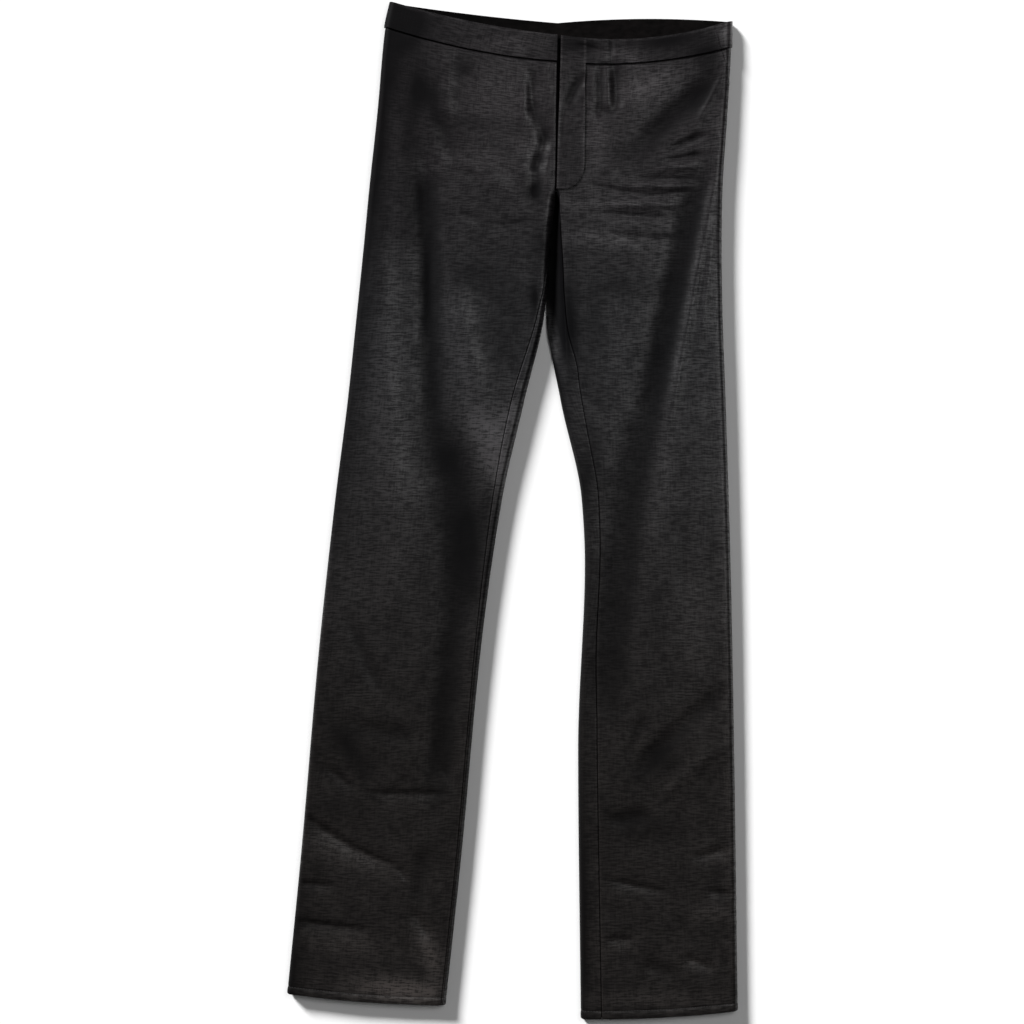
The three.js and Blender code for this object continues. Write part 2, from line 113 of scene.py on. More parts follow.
bpy.ops.object.light_add(type="AREA")
softbox = bpy.context.object
softbox.name = "panel_light"
softbox.data.shape = "DISK"
softbox.data.size = PANEL["size"]
softbox.data.energy = PANEL["power"]
aim(softbox, PANEL["from"], PANEL["away"])

world = bpy.data.worlds.new("studio")
world.use_nodes = True
world.node_tree.nodes["Background"].inputs["Color"].default_value = (SKY, SKY, SKY, 1)
bpy.context.scene.world = world
bpy.context.scene.view_settings.view_transform = "Standard"

# %% [markdown]
# ## The plan of the jeans
#
# Each half of the jeans is a row of flattened rings, one for every level from the waist to the hem. A level
# says how far down the garment a row of cloth lies. The rings could be drawn as closed curves and bridged,
# but then a seam or a fold would have no place of its own. Tables of a few levels say where the cloth lies
# instead. Each row of the plan gives the outer edge, then the centre line or the inner edge, which lies a
# little higher on the back, and how far the row sags between the two on the front and on the back. Smooth
# curves run through the rows.

# %% Plan of the halves
# level, outer x, outer y, inner x, inner y, inner y of the back, sag of the front, sag of the back
PLAN = {
    "right": [
        (0, -135, 562, 50, 525, 540, 4.5, 1.7),
        (29, -141, 534, 49.5, 496, 511, 6, 1.7),
        (120, -149.5, 442, 48.5, 424, 433, 3, 1),
        (209, -159, 353, 47.5, 353, 355, 0, 0),
        (272, -165, 290, 40.5, 290, 290, 0, 0),
        (340, -172, 222, 36, 222, 222, 0, 0),
        (440, -182.5, 122, 13.5, 122, 122, 0, 0),
        (551, -196.5, 11, -11.5, 11, 11, 0, 0),
        (717, -214.5, -155, -35, -155, -155, 0, 0),
        (940, -234, -378, -56, -378, -378, 1, 1),
        (1100, -249.5, -535, -74, -548, -548, 3, 3),
    ],
    "left": [
        (0, 242.5, 541, 50, 525, 540, 11.5, -4.2),
        (29, 242, 512, 49.5, 496, 511, 9, -3.5),
        (120, 237.5, 431, 48.5, 424, 433, 4, -1),
        (209, 232.5, 353, 47.5, 353, 355, 0, 0),
        (272, 231.5, 290, 40.5, 290, 290, 0, 0),
        (340, 232.5, 222, 37, 222, 222, 0, 0),
        (440, 236, 122, 53, 122, 122, 0, 0),
        (551, 239.5, 11, 76.5, 11, 11, 0, 0),
        (620, 241.5, -58, 80, -58, -58, 0, 0),
        (828, 245.5, -266, 72.5, -266, -266, 0, 0),
        (1100, 249.5, -554, 75.5, -563, -563, 3, 3),
    ],
}
CENTRE_Y = 0.45  # puts the middle of the plan on the origin

# Height of the front cloth above the floor, and the width of the roll along the inner edge. On the left leg
# the inner thigh leans out from under the front.
LOFT = [(0, 13.5), (60, 15.5), (225, 16.5), (340, 16.5), (551, 15.5), (828, 14.5), (1100, 14)]
INNER_ROLL = {
    "right": [(205, 3), (222, 8), (244, 8), (272, 5), (440, 7), (1100, 6)],
    "left": [(205, 3), (222, 6), (244, 9), (272, 14), (350, 20), (403, 15), (450, 12), (508, 6.5), (1100, 4)],
}

# Where the seams lie along the cloth: the side seam from the outer edge, the inseam from the inner edge.
SIDE_SEAM = {
    "right": [(0, -4), (1100, -4)],
    "left": [(0, 25), (29, 17), (60, 9), (110, 5), (1100, 5)],
}
INSEAM = {
    "right": [(272, 0), (300, 8), (345, 16), (447, 22), (540, 18), (800, 12), (1100, 11)],
    "left": [
        (207, 0),
        (216, 9),
        (230, 15),
        (244, 18),
        (272, 22),
        (300, 25),
        (345, 28),
        (418, 31),
        (527, 28),
        (700, 24),
        (812, 29),
        (1100, 31),
    ],
}

BAND_LEVEL = 29  # seam under the waistband
PLACKET_LEVEL = 207  # lowest point of the fly placket
DIP = (204, 226)  # the fronts dip between the legs
BACK_DIP = (198, 214)  # the backs rise to meet them
CROTCH_LEVEL = {"right": 272, "left": 208}  # the inner seams of the legs start
HEM_LEVEL = 1100


# %% Curves through a table
def smooth(start, end, value):
    """Rises from 0 at the start to 1 at the end, gently at both."""
    share = np.clip((value - start) / (end - start), 0, 1)
    return share * share * (3 - 2 * share)


def mix(a, b, share):
    """A share of the way from one value to another."""
    return a + (b - a) * share


def along(rows, level):
    """Every column of a table at the given levels, on smooth curves that never swing past its rows."""
    table = np.array(rows, float)
    level = np.clip(np.atleast_1d(level).astype(float), table[0, 0], table[-1, 0])
    step = np.diff(table[:, 0])[:, None]
    rise = np.diff(table[:, 1:], axis=0) / step
    turns = rise[:-1] * rise[1:] <= 0
    both = np.where(turns, 1, rise[:-1] + rise[1:])
    slope = np.vstack([rise[:1], np.where(turns, 0, 2 * rise[:-1] * rise[1:] / both), rise[-1:]])
    k = np.clip(np.searchsorted(table[:, 0], level, side="right") - 1, 0, len(table) - 2)
    t = (level[:, None] - table[k, :1]) / step[k]
    return (
        table[k, 1:] * (1 + 2 * t) * (1 - t) ** 2
        + slope[k] * step[k] * t * (1 - t) ** 2
        + table[k + 1, 1:] * t * t * (3 - 2 * t)
        + slope[k + 1] * step[k] * t * t * (t - 1)
    )


def value_at(rows, level):
    """The first value of a table at the given levels."""
    return along(rows, level)[:, 0]


print("right leg at the knee, outer to inner:", along(PLAN["right"], 551)[0, [0, 2]])

# %% [markdown]
# ## Folds
#
# Folds make this cloth: long hollows where the empty legs sink, ridges beside them, whiskers at the hips
# and short breaks above the hems. Blender can drop a cloth on a table and let the folds come, but flat,
# stiff, coated cloth keeps the folds that it was pressed with, and a simulation puts them elsewhere. So
# they are placed one by one. Each runs from one point of the plan to another, bowed to the right of its
# run, and fades out at both ends. A crisp one comes to a sharp crest, as coated cloth does where it has
# been bent before. A break above a hem is steep on one side and leans out wide on the other. Seeded ripples
# lie under them all.

# %% Folds of the front
# x and y of the start, x and y of the end, bow, width, height (below 0 for a trough), crispness, and, if it
# leans, how many times wider its right side is
FOLDS = [
    # right leg, long hollows and ridges
    (-98, 425, -88, 50, -3, 14, -4.0, 0),
    (-93, 308, -92, 175, 0, 5, -1.2, 0.3),
    (-88, 125, -58, -150, -10, 24, -3.5, 0),
    (-58, -80, -84, -350, 3, 15, -3.0, 0),
    (-147, 330, -128, -40, 2, 18, 2.2, 0),
    (-66, 265, -26, 95, 2, 15, 2.0, 0),
    (-125, 11, -136, -150, 0, 18, 1.0, 0),
    (-186, -100, -136, -215, 4, 8, -1.4, 0),
    (-205, -228, -92, -252, 3, 12, -1.4, 0),
    # right leg, breaks above the hem
    (-172, -311, -58, -312, 1, 3.5, -1.9, 0.8, 2.5),
    (-78, -279, -63, -314, 0, 3, -1.2, 0.6),
    (-214, -276, -166, -314, 0, 4, -1.8, 0.6, 2.4),
    (-250, -318, -106, -400, 10, 4, -3.9, 0.8, 4.5),
    (-248, -410, -190, -415, 0, 3, -1.9, 0.6, 2.2),
    (-258, -450, -146, -464, 1, 3.5, -2.6, 0.8, 3.2),
    (-114, -434, -87, -478, 0, 4, -2.5, 0.8, 3),
    (-127, -392, -114, -413, 0, 3, -1.3, 0.5),
    (-97, -366, -108, -448, 0, 9, -1.8, 0),
    # right hip and rise
    (-69, 520, -72, 420, 2, 8, 1.2, 0),
    (-88, 450, -62, 356, -4, 10, -1.8, 0),
    (-97, 402, 10, 352, 3, 8, 1.2, 0),
    (-66, 384, -20, 362, 2, 6, -1.4, 0),
    (-67, 329, -28, 320, 0, 4, -0.9, 0.2),
    (-28, 313, 32, 321, 1, 5, -1.0, 0.2),
    (15, 482, 12, 422, 0, 3.5, 1.1, 0.3),
    (20, 492, 25, 426, 0, 6.5, -2.6, 0),
    (21, 460, 41, 392, 0, 6.5, -2.5, 0),
    (40, 424, 26, 370, 0, 6, -2.3, 0),
    (28, 404, 27, 336, 0, 7, -2.8, 0),
    (35, 504, 43, 450, 0, 3, 0.9, 0.3),
    (38, 396, 40, 344, 0, 3, 0.9, 0.3),
    # left leg, long hollow and ridge
    (216, 404, 147, 72, 3, 17, -4.0, 0),
    (157, 152, 97, -260, 6, 21, -2.6, 0),
    (230, 398, 168, 70, 1, 6, 2.5, 0.1),
    (226, 350, 206, 170, 0, 4, 1.5, 0.2),
    (188, 6, 186, -104, 0, 8, -0.8, 0),
    # left hip
    (240, 500, 118, 380, -3, 15, -3.7, 0),
    (262, 544, 192, 406, -2, 4, 1.35, 0.3),
    (164, 393, 222, 417, -2, 5, -2.4, 0.1),
    (160, 385, 222, 395, 0, 3.5, -1.8, 0.3),
    (150, 376, 215, 382, 0, 4, 1.2, 0.3),
    (126, 367, 212, 366, 1, 4, -1.2, 0.5),
    (104, 357, 214, 359, 0, 4, 1.5, 0.3),
    (136, 344, 200, 353, 0, 3.5, -1.1, 0.5),
    (76, 362, 160, 347, 2, 4, -1.2, 0.5),
    (92, 337, 196, 338, 0, 4, 1.6, 0.3),
    (76, 328, 188, 321, -1, 4, -1.4, 0.5),
    (95, 305, 199, 299, 2, 6, -1.2, 0.2),
    (97, 500, 99, 426, 0, 5, -2.4, 0),
    (104, 498, 105, 430, 0, 4.5, 1.2, 0.2),
    (113, 504, 117, 430, 0, 6.5, -3.0, 0),
    (86, 446, 118, 438, 3, 7, -1.8, 0),
    (109, 536, 110, 484, 0, 3, -1.6, 0.2),
    (84, 486, 58, 436, 3, 7, -2.4, 0),
    (58, 452, 53, 396, 1, 4, -1.2, 0),
    (66, 516, 100, 508, 0, 3, -1.3, 0.4),
    # left leg, breaks above the hem
    (246, -188, 124, -304, 4, 11, -2.4, 0),
    (238, -252, 162, -324, 3, 8, 1.2, 0.2),
    (154, -214, 120, -292, 2, 6, -1.2, 0),
    (95, -341, 162, -334, 2, 9, -1.6, 0),
    (98, -405, 178, -422, 1, 3, -2.1, 0.9, 2.8),
    (210, -419, 250, -425, 0, 3, -1.9, 0.8, 2.6),
    (190, -386, 248, -370, 0, 4, -1.6, 0.5, 2.2),
    (100, -474, 138, -473, 0, 3.5, -1.6, 0.6, 2.2),
    (184, -488, 228, -508, 1, 4, -1.8, 0.6, 2.4),
    (140, -500, 190, -512, 1, 8, -1.2, 0),
]
FOLD_END = 80  # a long fold fades out over this length
SHORT_FOLD_END = 0.36  # and a short one over this share of its own
CREST = {"steep": 1.4, "blunt": 0.02, "top": 0.14}  # how a crisp fold falls away from its crest
RIPPLES = [(26, 0.35, 5), (12, 0.14, 6)]  # size, height, seed


def fold_shapes(x, y):
    """How high the folds stand over the front at points of the plan, and how high without the crisp ones, as
    flat bands with firm edges."""
    height, bands = np.zeros_like(x), np.zeros_like(x)
    for x1, y1, x2, y2, bow, width, high, crisp, *lean in FOLDS:
        length = math.hypot(x2 - x1, y2 - y1)
        run = ((x - x1) * (x2 - x1) + (y - y1) * (y2 - y1)) / length**2
        side = ((x - x1) * (y2 - y1) - (y - y1) * (x2 - x1)) / length
        away = (side - bow * 4 * run * (1 - run)) / width
        away = np.where(away > 0, away / (lean[0] if lean else 1), away)
        crest = np.exp(-CREST["steep"] * (np.sqrt(away**2 + CREST["blunt"]) - CREST["top"]))
        fade = min(SHORT_FOLD_END, FOLD_END / length)
        high = high * smooth(0, fade, run) * smooth(0, fade, 1 - run)
        height += high * mix(np.exp(-(away**2)), crest, crisp)
        bands += high * (1 - crisp) * np.exp(-(away**4))
    for size, high, seed in RIPPLES:
        height += high * ripple(x, y, size, seed)
    return height, bands


def ripple(x, y, size, seed):
    """Soft bumps of about a size, between -1 and 1, that come out the same on every run."""
    knots = np.random.default_rng(seed).uniform(-1, 1, (160, 160))
    u, v = x / size + 80, y / size + 80
    i, j = np.floor(u).astype(int), np.floor(v).astype(int)
    s, t = smooth(0, 1, u - i), smooth(0, 1, v - j)
    near = mix(knots[i, j], knots[i + 1, j], s)
    return mix(near, mix(knots[i, j + 1], knots[i + 1, j + 1], s), t)


print("folds:", len(FOLDS), "the deepest", min(fold[6] for fold in FOLDS), "mm")


# %% [markdown]
# ## Where the coating is rubbed, and where light and shade are painted
#
# The wax is rubbed greyer where the cloth has been handled. The same numbers also paint shade and light:
# darker and dull in the hollows and along broad shaded bands, paler where the cloth faces the light. Noise
# alone would put them in the wrong places, so these soft patches say where, and every sewn edge has a pale
# painted highlight beside it. They are stored on the mesh, with each point's place along the cloth. The
# denim's finish reads both later, so that the weave follows the cloth over each edge.

# %% Patches of wear, painted light and painted shade
# x, y, half length, half width, degrees from +X, amount (below 0 for darker): wear with painted light and
# shade
WEAR_LIGHT_AND_SHADE_PATCHES = [
    # right leg
    (-140, 120, 170, 30, 96, 0.33),
    (-152, 240, 90, 13, 84, -0.5),
    (-165, 282, 44, 11, 86, -0.35),
    (-112, 318, 40, 10, 88, -0.25),
    (-58, 170, 80, 18, 96, 0.5),
    (-6, 225, 60, 34, 90, -0.15),
    (-48, 262, 24, 14, 0, -0.3),
    (-110, 24, 24, 14, 0, 0.3),
    (16, 150, 20, 10, 80, 0.4),
    (-20, 66, 52, 19, -68, 1.7),
    (4, 110, 22, 13, 64, 0.9),
    (0, 90, 30, 12, -66, 0.6),
    (-66, 60, 22, 20, -40, -0.15),
    (-42, -24, 46, 18, 86, -0.2),
    (-170, -60, 150, 40, 85, 0.2),
    (-178, -170, 40, 14, 70, -0.2),
    (-160, -256, 56, 16, -8, -0.12),
    (-180, -264, 46, 13, -58, -0.35),
    (-190, -328, 26, 10, 0, -0.25),
    (-188, -376, 54, 15, -26, 0.5),
    (-97, -468, 24, 9, -58, 0.35),
    (-186, -480, 50, 12, -6, 0.5),
    (-88, -498, 30, 12, -62, 1.0),
    (-122, -531, 52, 14, -5, 1.8),
    (-72, -524, 26, 12, 74, -0.6),
    # right hip
    (-130, 486, 40, 13, 86, -0.35),
    (-104, 466, 24, 10, 90, -0.3),
    (-87, 450, 34, 11, 98, -0.4),
    (-68, 460, 20, 10, 0, -0.3),
    (-84, 382, 24, 13, 0, 0.4),
    (-46, 428, 22, 9, 0, -0.3),
    (-58, 488, 18, 12, 0, -0.45),
    (-152, 398, 66, 16, 86, -0.45),
    (-112, 420, 84, 14, 86, -0.38),
    (-114, 514, 18, 14, 0, -0.3),
    (-10, 460, 46, 36, 0, 0.4),
    (20, 398, 18, 12, 0, 0.4),
    (-20, 385, 50, 20, -16, 0.25),
    (24, 350, 12, 12, 0, -0.5),
    # left hip
    (143, 468, 30, 13, 20, 0.75),
    (116, 503, 28, 8, 4, 0.5),
    (214, 500, 24, 14, 20, -0.4),
    (94, 410, 30, 13, 86, 0.55),
    (119, 392, 22, 12, 0, -0.25),
    (214, 456, 24, 12, 60, -0.3),
    (238, 460, 20, 10, 90, -0.35),
    (134, 494, 14, 8, 0, 0.4),
    (119, 333, 60, 26, 0, 0.15),
    (104, 337, 52, 5, -2, 0.4),
    (100, 300, 50, 9, -4, 0.45),
    # left leg
    (208, 60, 230, 26, 85, 0.2),
    (238, 60, 260, 9, 90, 0.4),
    (249, -530, 60, 8, 90, -0.4),
    (76, -460, 120, 9, 90, -0.35),
    (39, 198, 36, 8, -80, 2.2),
    (27, 232, 22, 7, -84, -0.9),
    (53, 212, 34, 6, -84, -0.4),
    (61, 200, 58, 12, 90, -0.65),
    (82, 40, 40, 10, 80, -0.4),
    (90, 212, 26, 12, 90, -0.25),
    (108, 92, 24, 12, 90, 0.35),
    (34, 297, 20, 12, 90, -0.4),
    (119, 180, 50, 14, 92, 0.3),
    (114, 246, 26, 12, 0, -0.3),
    (166, 40, 94, 13, 81, 0.5),
    (204, -130, 60, 20, 90, 0.25),
    (190, -226, 30, 8, 48, 0.35),
    (164, -278, 34, 14, 40, -0.3),
    (138, -350, 42, 18, 0, -0.25),
    (224, -378, 26, 9, 0, 0.4),
    (222, -446, 26, 9, 0, 0.45),
    (114, -480, 22, 9, 0, 0.3),
    (203, -500, 24, 9, -12, 0.4),
    (153, -540, 76, 9, 0, 0.45),
    # waistband
    (-116, 542, 34, 20, 0, -0.45),
    (-2, 516, 30, 10, 0, 0.4),
    (68, 515, 22, 12, 0, -0.4),
    (170, 519, 42, 11, 8, -0.3),
    (240, 528, 12, 15, 80, 0.9),
]
FOLD_LIGHT_AND_SHADE = 0.115  # painted highlight on the ridges, painted shade in the hollows, for each millimetre of height


def wear_and_light(points):
    """Wear and painted light at points of the front: a painted highlight on its ridges, painted shade in its
    hollows, and the patches.
    """
    x, y = points[..., 0], points[..., 1]
    # a painted highlight on the ridges and painted shade in the hollows of the folds
    amount = FOLD_LIGHT_AND_SHADE * fold_shapes(x, y)[1]
    # patches of wear, painted highlight and painted shade
    for at_x, at_y, long, wide, turn, much in WEAR_LIGHT_AND_SHADE_PATCHES:
        c, s = math.cos(math.radians(turn)), math.sin(math.radians(turn))
        run = ((x - at_x) * c + (y - at_y) * s) / long
        side = ((y - at_y) * c - (x - at_x) * s) / wide
        amount += much * np.exp(-(run**2) - side**2)
    return amount


print("rubbed patches:", len(WEAR_LIGHT_AND_SHADE_PATCHES))


# %% [markdown]
# ## Rings of cloth
#
# A ring is two layers of cloth with a rolled edge at the side and another at the middle. The side edge is a
# quarter of an ellipse over the front and another under the back, because folded denim rolls over and
# doesn't crease. Below the crotch the ring is closed, so that a distance along the cloth can go on from the
# back over the inner edge, as the back panel of each leg does.

# %% Half rings
RIM = np.linspace(0, np.pi / 2, 14)  # angles round a rolled edge
BETWEEN_RIMS = np.linspace(0, 1, 60)[1:-1]
OUTER_ROLL = {"right": 4, "left": 7}  # width of the roll along the outer edge, on the front
OUTER_FOOT, INNER_FOOT = 5, 4  # and of both edges' rolls on the back
OUTER_SHARE = 0.42  # height of the outer edge as a share of the loft
INNER_EDGE = {"right": 4.5, "left": 3.5}  # height of the inner edge
FOLD_FADE = 7  # folds fade out this far beside an edge
SEAM_GAP = 0.3
TUCK = {"depth": 2.6, "starts": (207, 222), "ends": (430, 360)}  # the left leg's edge beside the crotch
PRESSED = {"by": 1.1, "starts": (206, 220), "ends": (345, 315)}  # closer together where the legs part


def half_ring(half, level, side):
    """Points of the front or the back of some rings, from the outer edge inwards, and how much they fold."""
    out_x, out_y, in_x, in_y, back_y, bow, back_bow = along(PLAN[half], level).T[..., None]
    loft = value_at(LOFT, level)[:, None]
    dip = smooth(*DIP, level)[:, None]
    width = np.hypot(in_x - out_x, in_y - out_y) - SEAM_GAP / 2
    outer, edge = loft * OUTER_SHARE, INNER_EDGE[half]
    sin, cos = np.sin(RIM), np.cos(RIM)
    if side == "front":
        start, roll = OUTER_ROLL[half], value_at(INNER_ROLL[half], level)[:, None]
        tucked = (smooth(*TUCK["starts"], level) * smooth(*TUCK["ends"], level))[:, None]
        tuck = 1 + TUCK["depth"] * (half == "left") * tucked
        end, turn_in, turn_down = mix(loft, edge, dip), sin**tuck, cos**tuck
        rims = outer + (loft - outer) * sin, loft - (loft - end) * (1 - turn_down)
    else:
        start, roll, turn_in = OUTER_FOOT, INNER_FOOT, sin
        end = edge * smooth(*BACK_DIP, level)[:, None]
        rims = outer * (1 - sin), end * (1 - cos)
        loft, in_y, bow = loft * 0, back_y, back_bow
    w = np.hstack(
        [start * (1 - cos) + width * 0, mix(start, width - roll, BETWEEN_RIMS), width - roll * (1 - turn_in)]
    )
    z = np.hstack([rims[0], np.repeat(loft, len(BETWEEN_RIMS), 1), rims[1]])
    share = w / width
    gap = SEAM_GAP - PRESSED["by"] * smooth(*PRESSED["starts"], level) * smooth(*PRESSED["ends"], level)
    x = mix(out_x, in_x, share) - np.sign(in_x - out_x) * gap[:, None] * share / 2
    y = mix(out_y, in_y, share) - bow * 4 * share * (1 - share) + CENTRE_Y
    inner = 1 - smooth(0, 1, (width - w) / (roll + FOLD_FADE))
    fade = smooth(0, OUTER_ROLL[half] + FOLD_FADE, w) * (1 - dip * inner) * (side == "front")
    return np.stack([x, y, z, fade], axis=2)


def lengths_of(points):
    """Distances along rows of points, from the start of each row."""
    steps = np.linalg.norm(np.diff(points[..., :3], axis=1), axis=2)
    return np.hstack([np.zeros((len(points), 1)), np.cumsum(steps, axis=1)])


def widths(half, level):
    """How long the front and the back of the rings are along the cloth."""
    return [lengths_of(half_ring(half, level, side))[:, -1] for side in ("front", "back")]


KNEE = np.array([551])
for half in PLAN:
    print(half, "leg at the knee, front and back:", [round(float(w[0]), 1) for w in widths(half, KNEE)])


# %% Points along the cloth
def cloth_points(half, level, distance):
    """Points of the cloth, a row for each level. Distances count from the outer edge: above 0 over the front,
    below 0 under the back and on over the inner edge."""
    front, back = half_ring(half, level, "front"), half_ring(half, level, "back")
    over, under = lengths_of(front), lengths_of(back)
    ends = over[:, -1:] + under[:, -1:]
    paths = np.concatenate([front, back[:, ::-1], front], axis=1)
    lengths = np.hstack([over - ends, -under[:, ::-1], over])
    found = np.stack(
        [
            np.stack([np.interp(wanted, length, path[:, c]) for c in range(4)], axis=1)
            for wanted, length, path in zip(distance, lengths, paths)
        ]
    )
    points, fade = found[..., :3], found[..., 3]
    points[..., 2] += fade * fold_shapes(points[..., 0], points[..., 1])[0]
    return points


def outward(points, half, distance):
    """Unit vectors that point out of the cloth."""
    across = np.gradient(points, axis=1)
    down = np.gradient(points, axis=0)
    normal = np.cross(down, across)
    normal /= np.linalg.norm(normal, axis=2, keepdims=True) + 1e-9
    way = np.sign(distance[0, -1] - distance[0, 0]) * (1 if half == "right" else -1)
    return normal * way


CLEAR_OF_FLOOR = 4  # height from which cloth may move out by its whole amount


def moved(points, normals, out):
    """Points moved out of the cloth, or in when below 0. None moves out at the floor, so the back rests."""
    lift = np.where(out > 0, out * smooth(0, CLEAR_OF_FLOOR, points[..., 2]), out)
    return points + normals * lift[..., None]


on_the_knee = cloth_points("right", KNEE, np.array([[90.0]]))[0, 0]
print("a point on the right knee, with its folds:", on_the_knee.round(1))


# %% [markdown]
# ## Seams and spacing
#
# Where two pieces of cloth are sewn, both turn under, and a narrow groove is left between them. A bevel
# would round such an edge evenly, but a seam drops in a quarter of an ellipse and deeper on one side than
# on the other. So the rows and columns of a piece crowd towards its sewn edges, and the points there drop.

# %% Spacing and sewn edges
NEAR_EDGE = np.array([0, 0.25, 0.6, 1.0, 1.5, 2.2, 3.2, 4.6])


def crowded(start, end, count, near_start=NEAR_EDGE, near_end=NEAR_EDGE):
    """Places from a start to an end, close together near both. start and end may be one for each row."""
    start, end = np.atleast_1d(start).astype(float), np.atleast_1d(end).astype(float)
    way = np.sign(end - start)[:, None]
    first, last = start[:, None] + way * near_start, end[:, None] - way * near_end[::-1]
    between = mix(first[:, -1:], last[:, :1], np.linspace(0, 1, count + 2)[1:-1])
    return np.hstack([first, between, last])


def turned_under(distance, reach, depth):
    """How far the cloth has dropped at a distance from a sewn edge."""
    share = 1 - np.clip(distance / reach, 0, 1)
    return depth * (1 - np.sqrt(1 - share**2))


print("places across 40 mm:", crowded(0, 40, 3)[0].round(2))


# %% [markdown]
# ## A piece of cloth
#
# Each piece starts as Blender's flat grid. Its vertices are put where the cloth runs, and a Solidify
# modifier gives it its thickness. An outline could be extruded instead, but a grid keeps its rows across
# the cloth and its columns down it, so every point can keep three numbers: its place along the cloth, its
# place down the garment, and how far its coating is rubbed together with the light and shade painted on
# it. The inside of the cloth gets a finish of its own.

# %% Lay a grid
CLOTH, BAND_CLOTH, HEM_CLOTH = 1.1, 2.4, 2.3  # thickness of one layer, of the band and of the hem


def lay_grid(name, points, normals, place, thick, kept=None):
    """A grid with its vertices on the given points and its faces outwards. place is stored at each point, and
    thick is the cloth's thickness there. Cells that are not kept are taken away."""
    turns = np.cross(np.gradient(points, axis=1), np.gradient(points, axis=0))
    thick = np.broadcast_to(thick, points.shape[:2])
    kept = np.ones(np.subtract(points.shape[:2], 1), bool) if kept is None else kept
    if np.sum(turns * normals) < 0:
        points, place, thick, kept = (part[:, ::-1] for part in (points, place, thick, kept))
    rows, columns = points.shape[:2]
    bpy.ops.object.select_all(action="DESELECT")
    bpy.ops.mesh.primitive_grid_add(x_subdivisions=columns - 1, y_subdivisions=rows - 1, size=1)
    piece = bpy.context.object
    piece.name = piece.data.name = name
    piece.data.vertices.foreach_set("co", (points * MM).astype(np.float32).ravel())
    stored = piece.data.attributes.new("cloth", "FLOAT_VECTOR", "POINT")
    stored.data.foreach_set("vector", place.astype(np.float32).ravel())
    group = piece.vertex_groups.new(name="thick")
    for amount in np.unique(thick):
        group.add(np.flatnonzero(thick.ravel() == amount).tolist(), float(amount / thick.max()), "REPLACE")
    if not kept.all():
        take_away(piece, kept, columns)
    return piece, float(thick.max())


def take_away(piece, kept, columns):
    """Deletes the cells of a grid that are not kept."""
    shell = bmesh.new()
    shell.from_mesh(piece.data)
    first = [min(corner.index for corner in face.verts) for face in shell.faces]
    spare = [face for face, k in zip(shell.faces, first) if not kept[k // columns, k % columns]]
    bmesh.ops.delete(shell, geom=spare, context="FACES")
    shell.to_mesh(piece.data)
    shell.free()


# %% Thickness and finish
CUT_EDGE = {"steps": 3, "sharper_than": 55}  # how cut edges are rounded
CREASE_ANGLE = 50  # edges sharper than this stay sharp


def apply_modifiers(piece):
    """Applies a piece's modifiers, with nothing else selected."""
    bpy.ops.object.select_all(action="DESELECT")
    piece.select_set(True)
    bpy.context.view_layer.objects.active = piece
    for modifier in list(piece.modifiers):
        bpy.ops.object.modifier_apply(modifier=modifier.name)


def thicken(piece, thickness, finishes, bevel=0.0):
    """Gives a piece its two finishes, outside and inside, and its thickness, and rounds its cut edges."""
    for finish in finishes:
        piece.data.materials.append(finish)
    solid = piece.modifiers.new("thickness", "SOLIDIFY")
    solid.thickness = thickness * MM
    solid.offset = -1
    solid.material_offset = 1
    solid.vertex_group = "thick"
    if bevel:
        rounded = piece.modifiers.new("rounded", "BEVEL")
        rounded.width = bevel * MM
        rounded.segments = CUT_EDGE["steps"]
        rounded.limit_method = "ANGLE"
        rounded.angle_limit = math.radians(CUT_EDGE["sharper_than"])
    apply_modifiers(piece)
    bpy.ops.object.shade_smooth_by_angle(angle=math.radians(CREASE_ANGLE))


def place_in_frame(piece, node=None):
    """Lets a piece ride with the jeans, and stand for a node of the frame."""
    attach(piece, "root")
    if node:
        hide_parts(node)
    piece.data.calc_loop_triangles()
    print(piece.name, len(piece.data.loop_triangles), "triangles")


cut = {}  # width, length and area of each piece's cut, in metres


def note_cut(piece, level, distance):
    """Measures a piece along its cloth: its greatest width, its length and its area."""
    across = np.abs(distance[:, -1] - distance[:, 0]) * MM
    area = float(np.sum((across[1:] + across[:-1]) / 2 * np.diff(level))) * MM
    cut[piece] = (float(across.max()), float(level[-1] - level[0]) * MM, area)
    print(piece.name, "cut:", [round(size, 4) for size in cut[piece]])


# %% [markdown]
# ## Coated denim
#
# The cloth is black denim under a thin wax coating. Its yarns are uneven, so pale and dark slubs run across
# and down it like fine cross-hatching, one or two millimetres thick and a centimetre or two long. The coat
# is smooth between them, which gives the broad soft shine. Towards the hems the black turns a little
# browner, and towards the waist a little redder.
#
# A picture of denim would repeat, and would have to be unwrapped. Stretched noise doesn't: one noise runs
# across the cloth and one down it, and both read the place along the cloth that each point keeps.
#
# Maths on values is written as plain expressions, with one small class around a socket.


# %% Shader tools
SHARE, FIRST, SECOND, MIXED = 0, 6, 7, 2  # sockets of a Mix node for colours, three in and one out
STORED, OBJECT = 1, 3  # outputs: an attribute's vector, and Object coordinates


class Value:
    """A node's output that can be used in an expression."""

    def __init__(self, finish, socket):
        self.finish, self.socket = finish, socket

    def maths(self, operation, *values):
        """The output of a Math node on values, which may be numbers."""
        sockets = dict(enumerate(values))
        return self.finish.node("Math", {"operation": operation}, sockets)[0]

    def __add__(self, other):
        return self.maths("ADD", self, other)

    def __sub__(self, other):
        return self.maths("SUBTRACT", self, other)

    def __rsub__(self, other):
        return self.maths("SUBTRACT", other, self)

    def __mul__(self, other):
        return self.maths("MULTIPLY", self, other)

    def __truediv__(self, other):
        return self.maths("DIVIDE", self, other)

    __radd__, __rmul__ = __add__, __mul__

    def held(self, low=0.0, high=1.0):
        """The value, kept between two limits."""
        return self.maths("MINIMUM", self.maths("MAXIMUM", self, low), high)


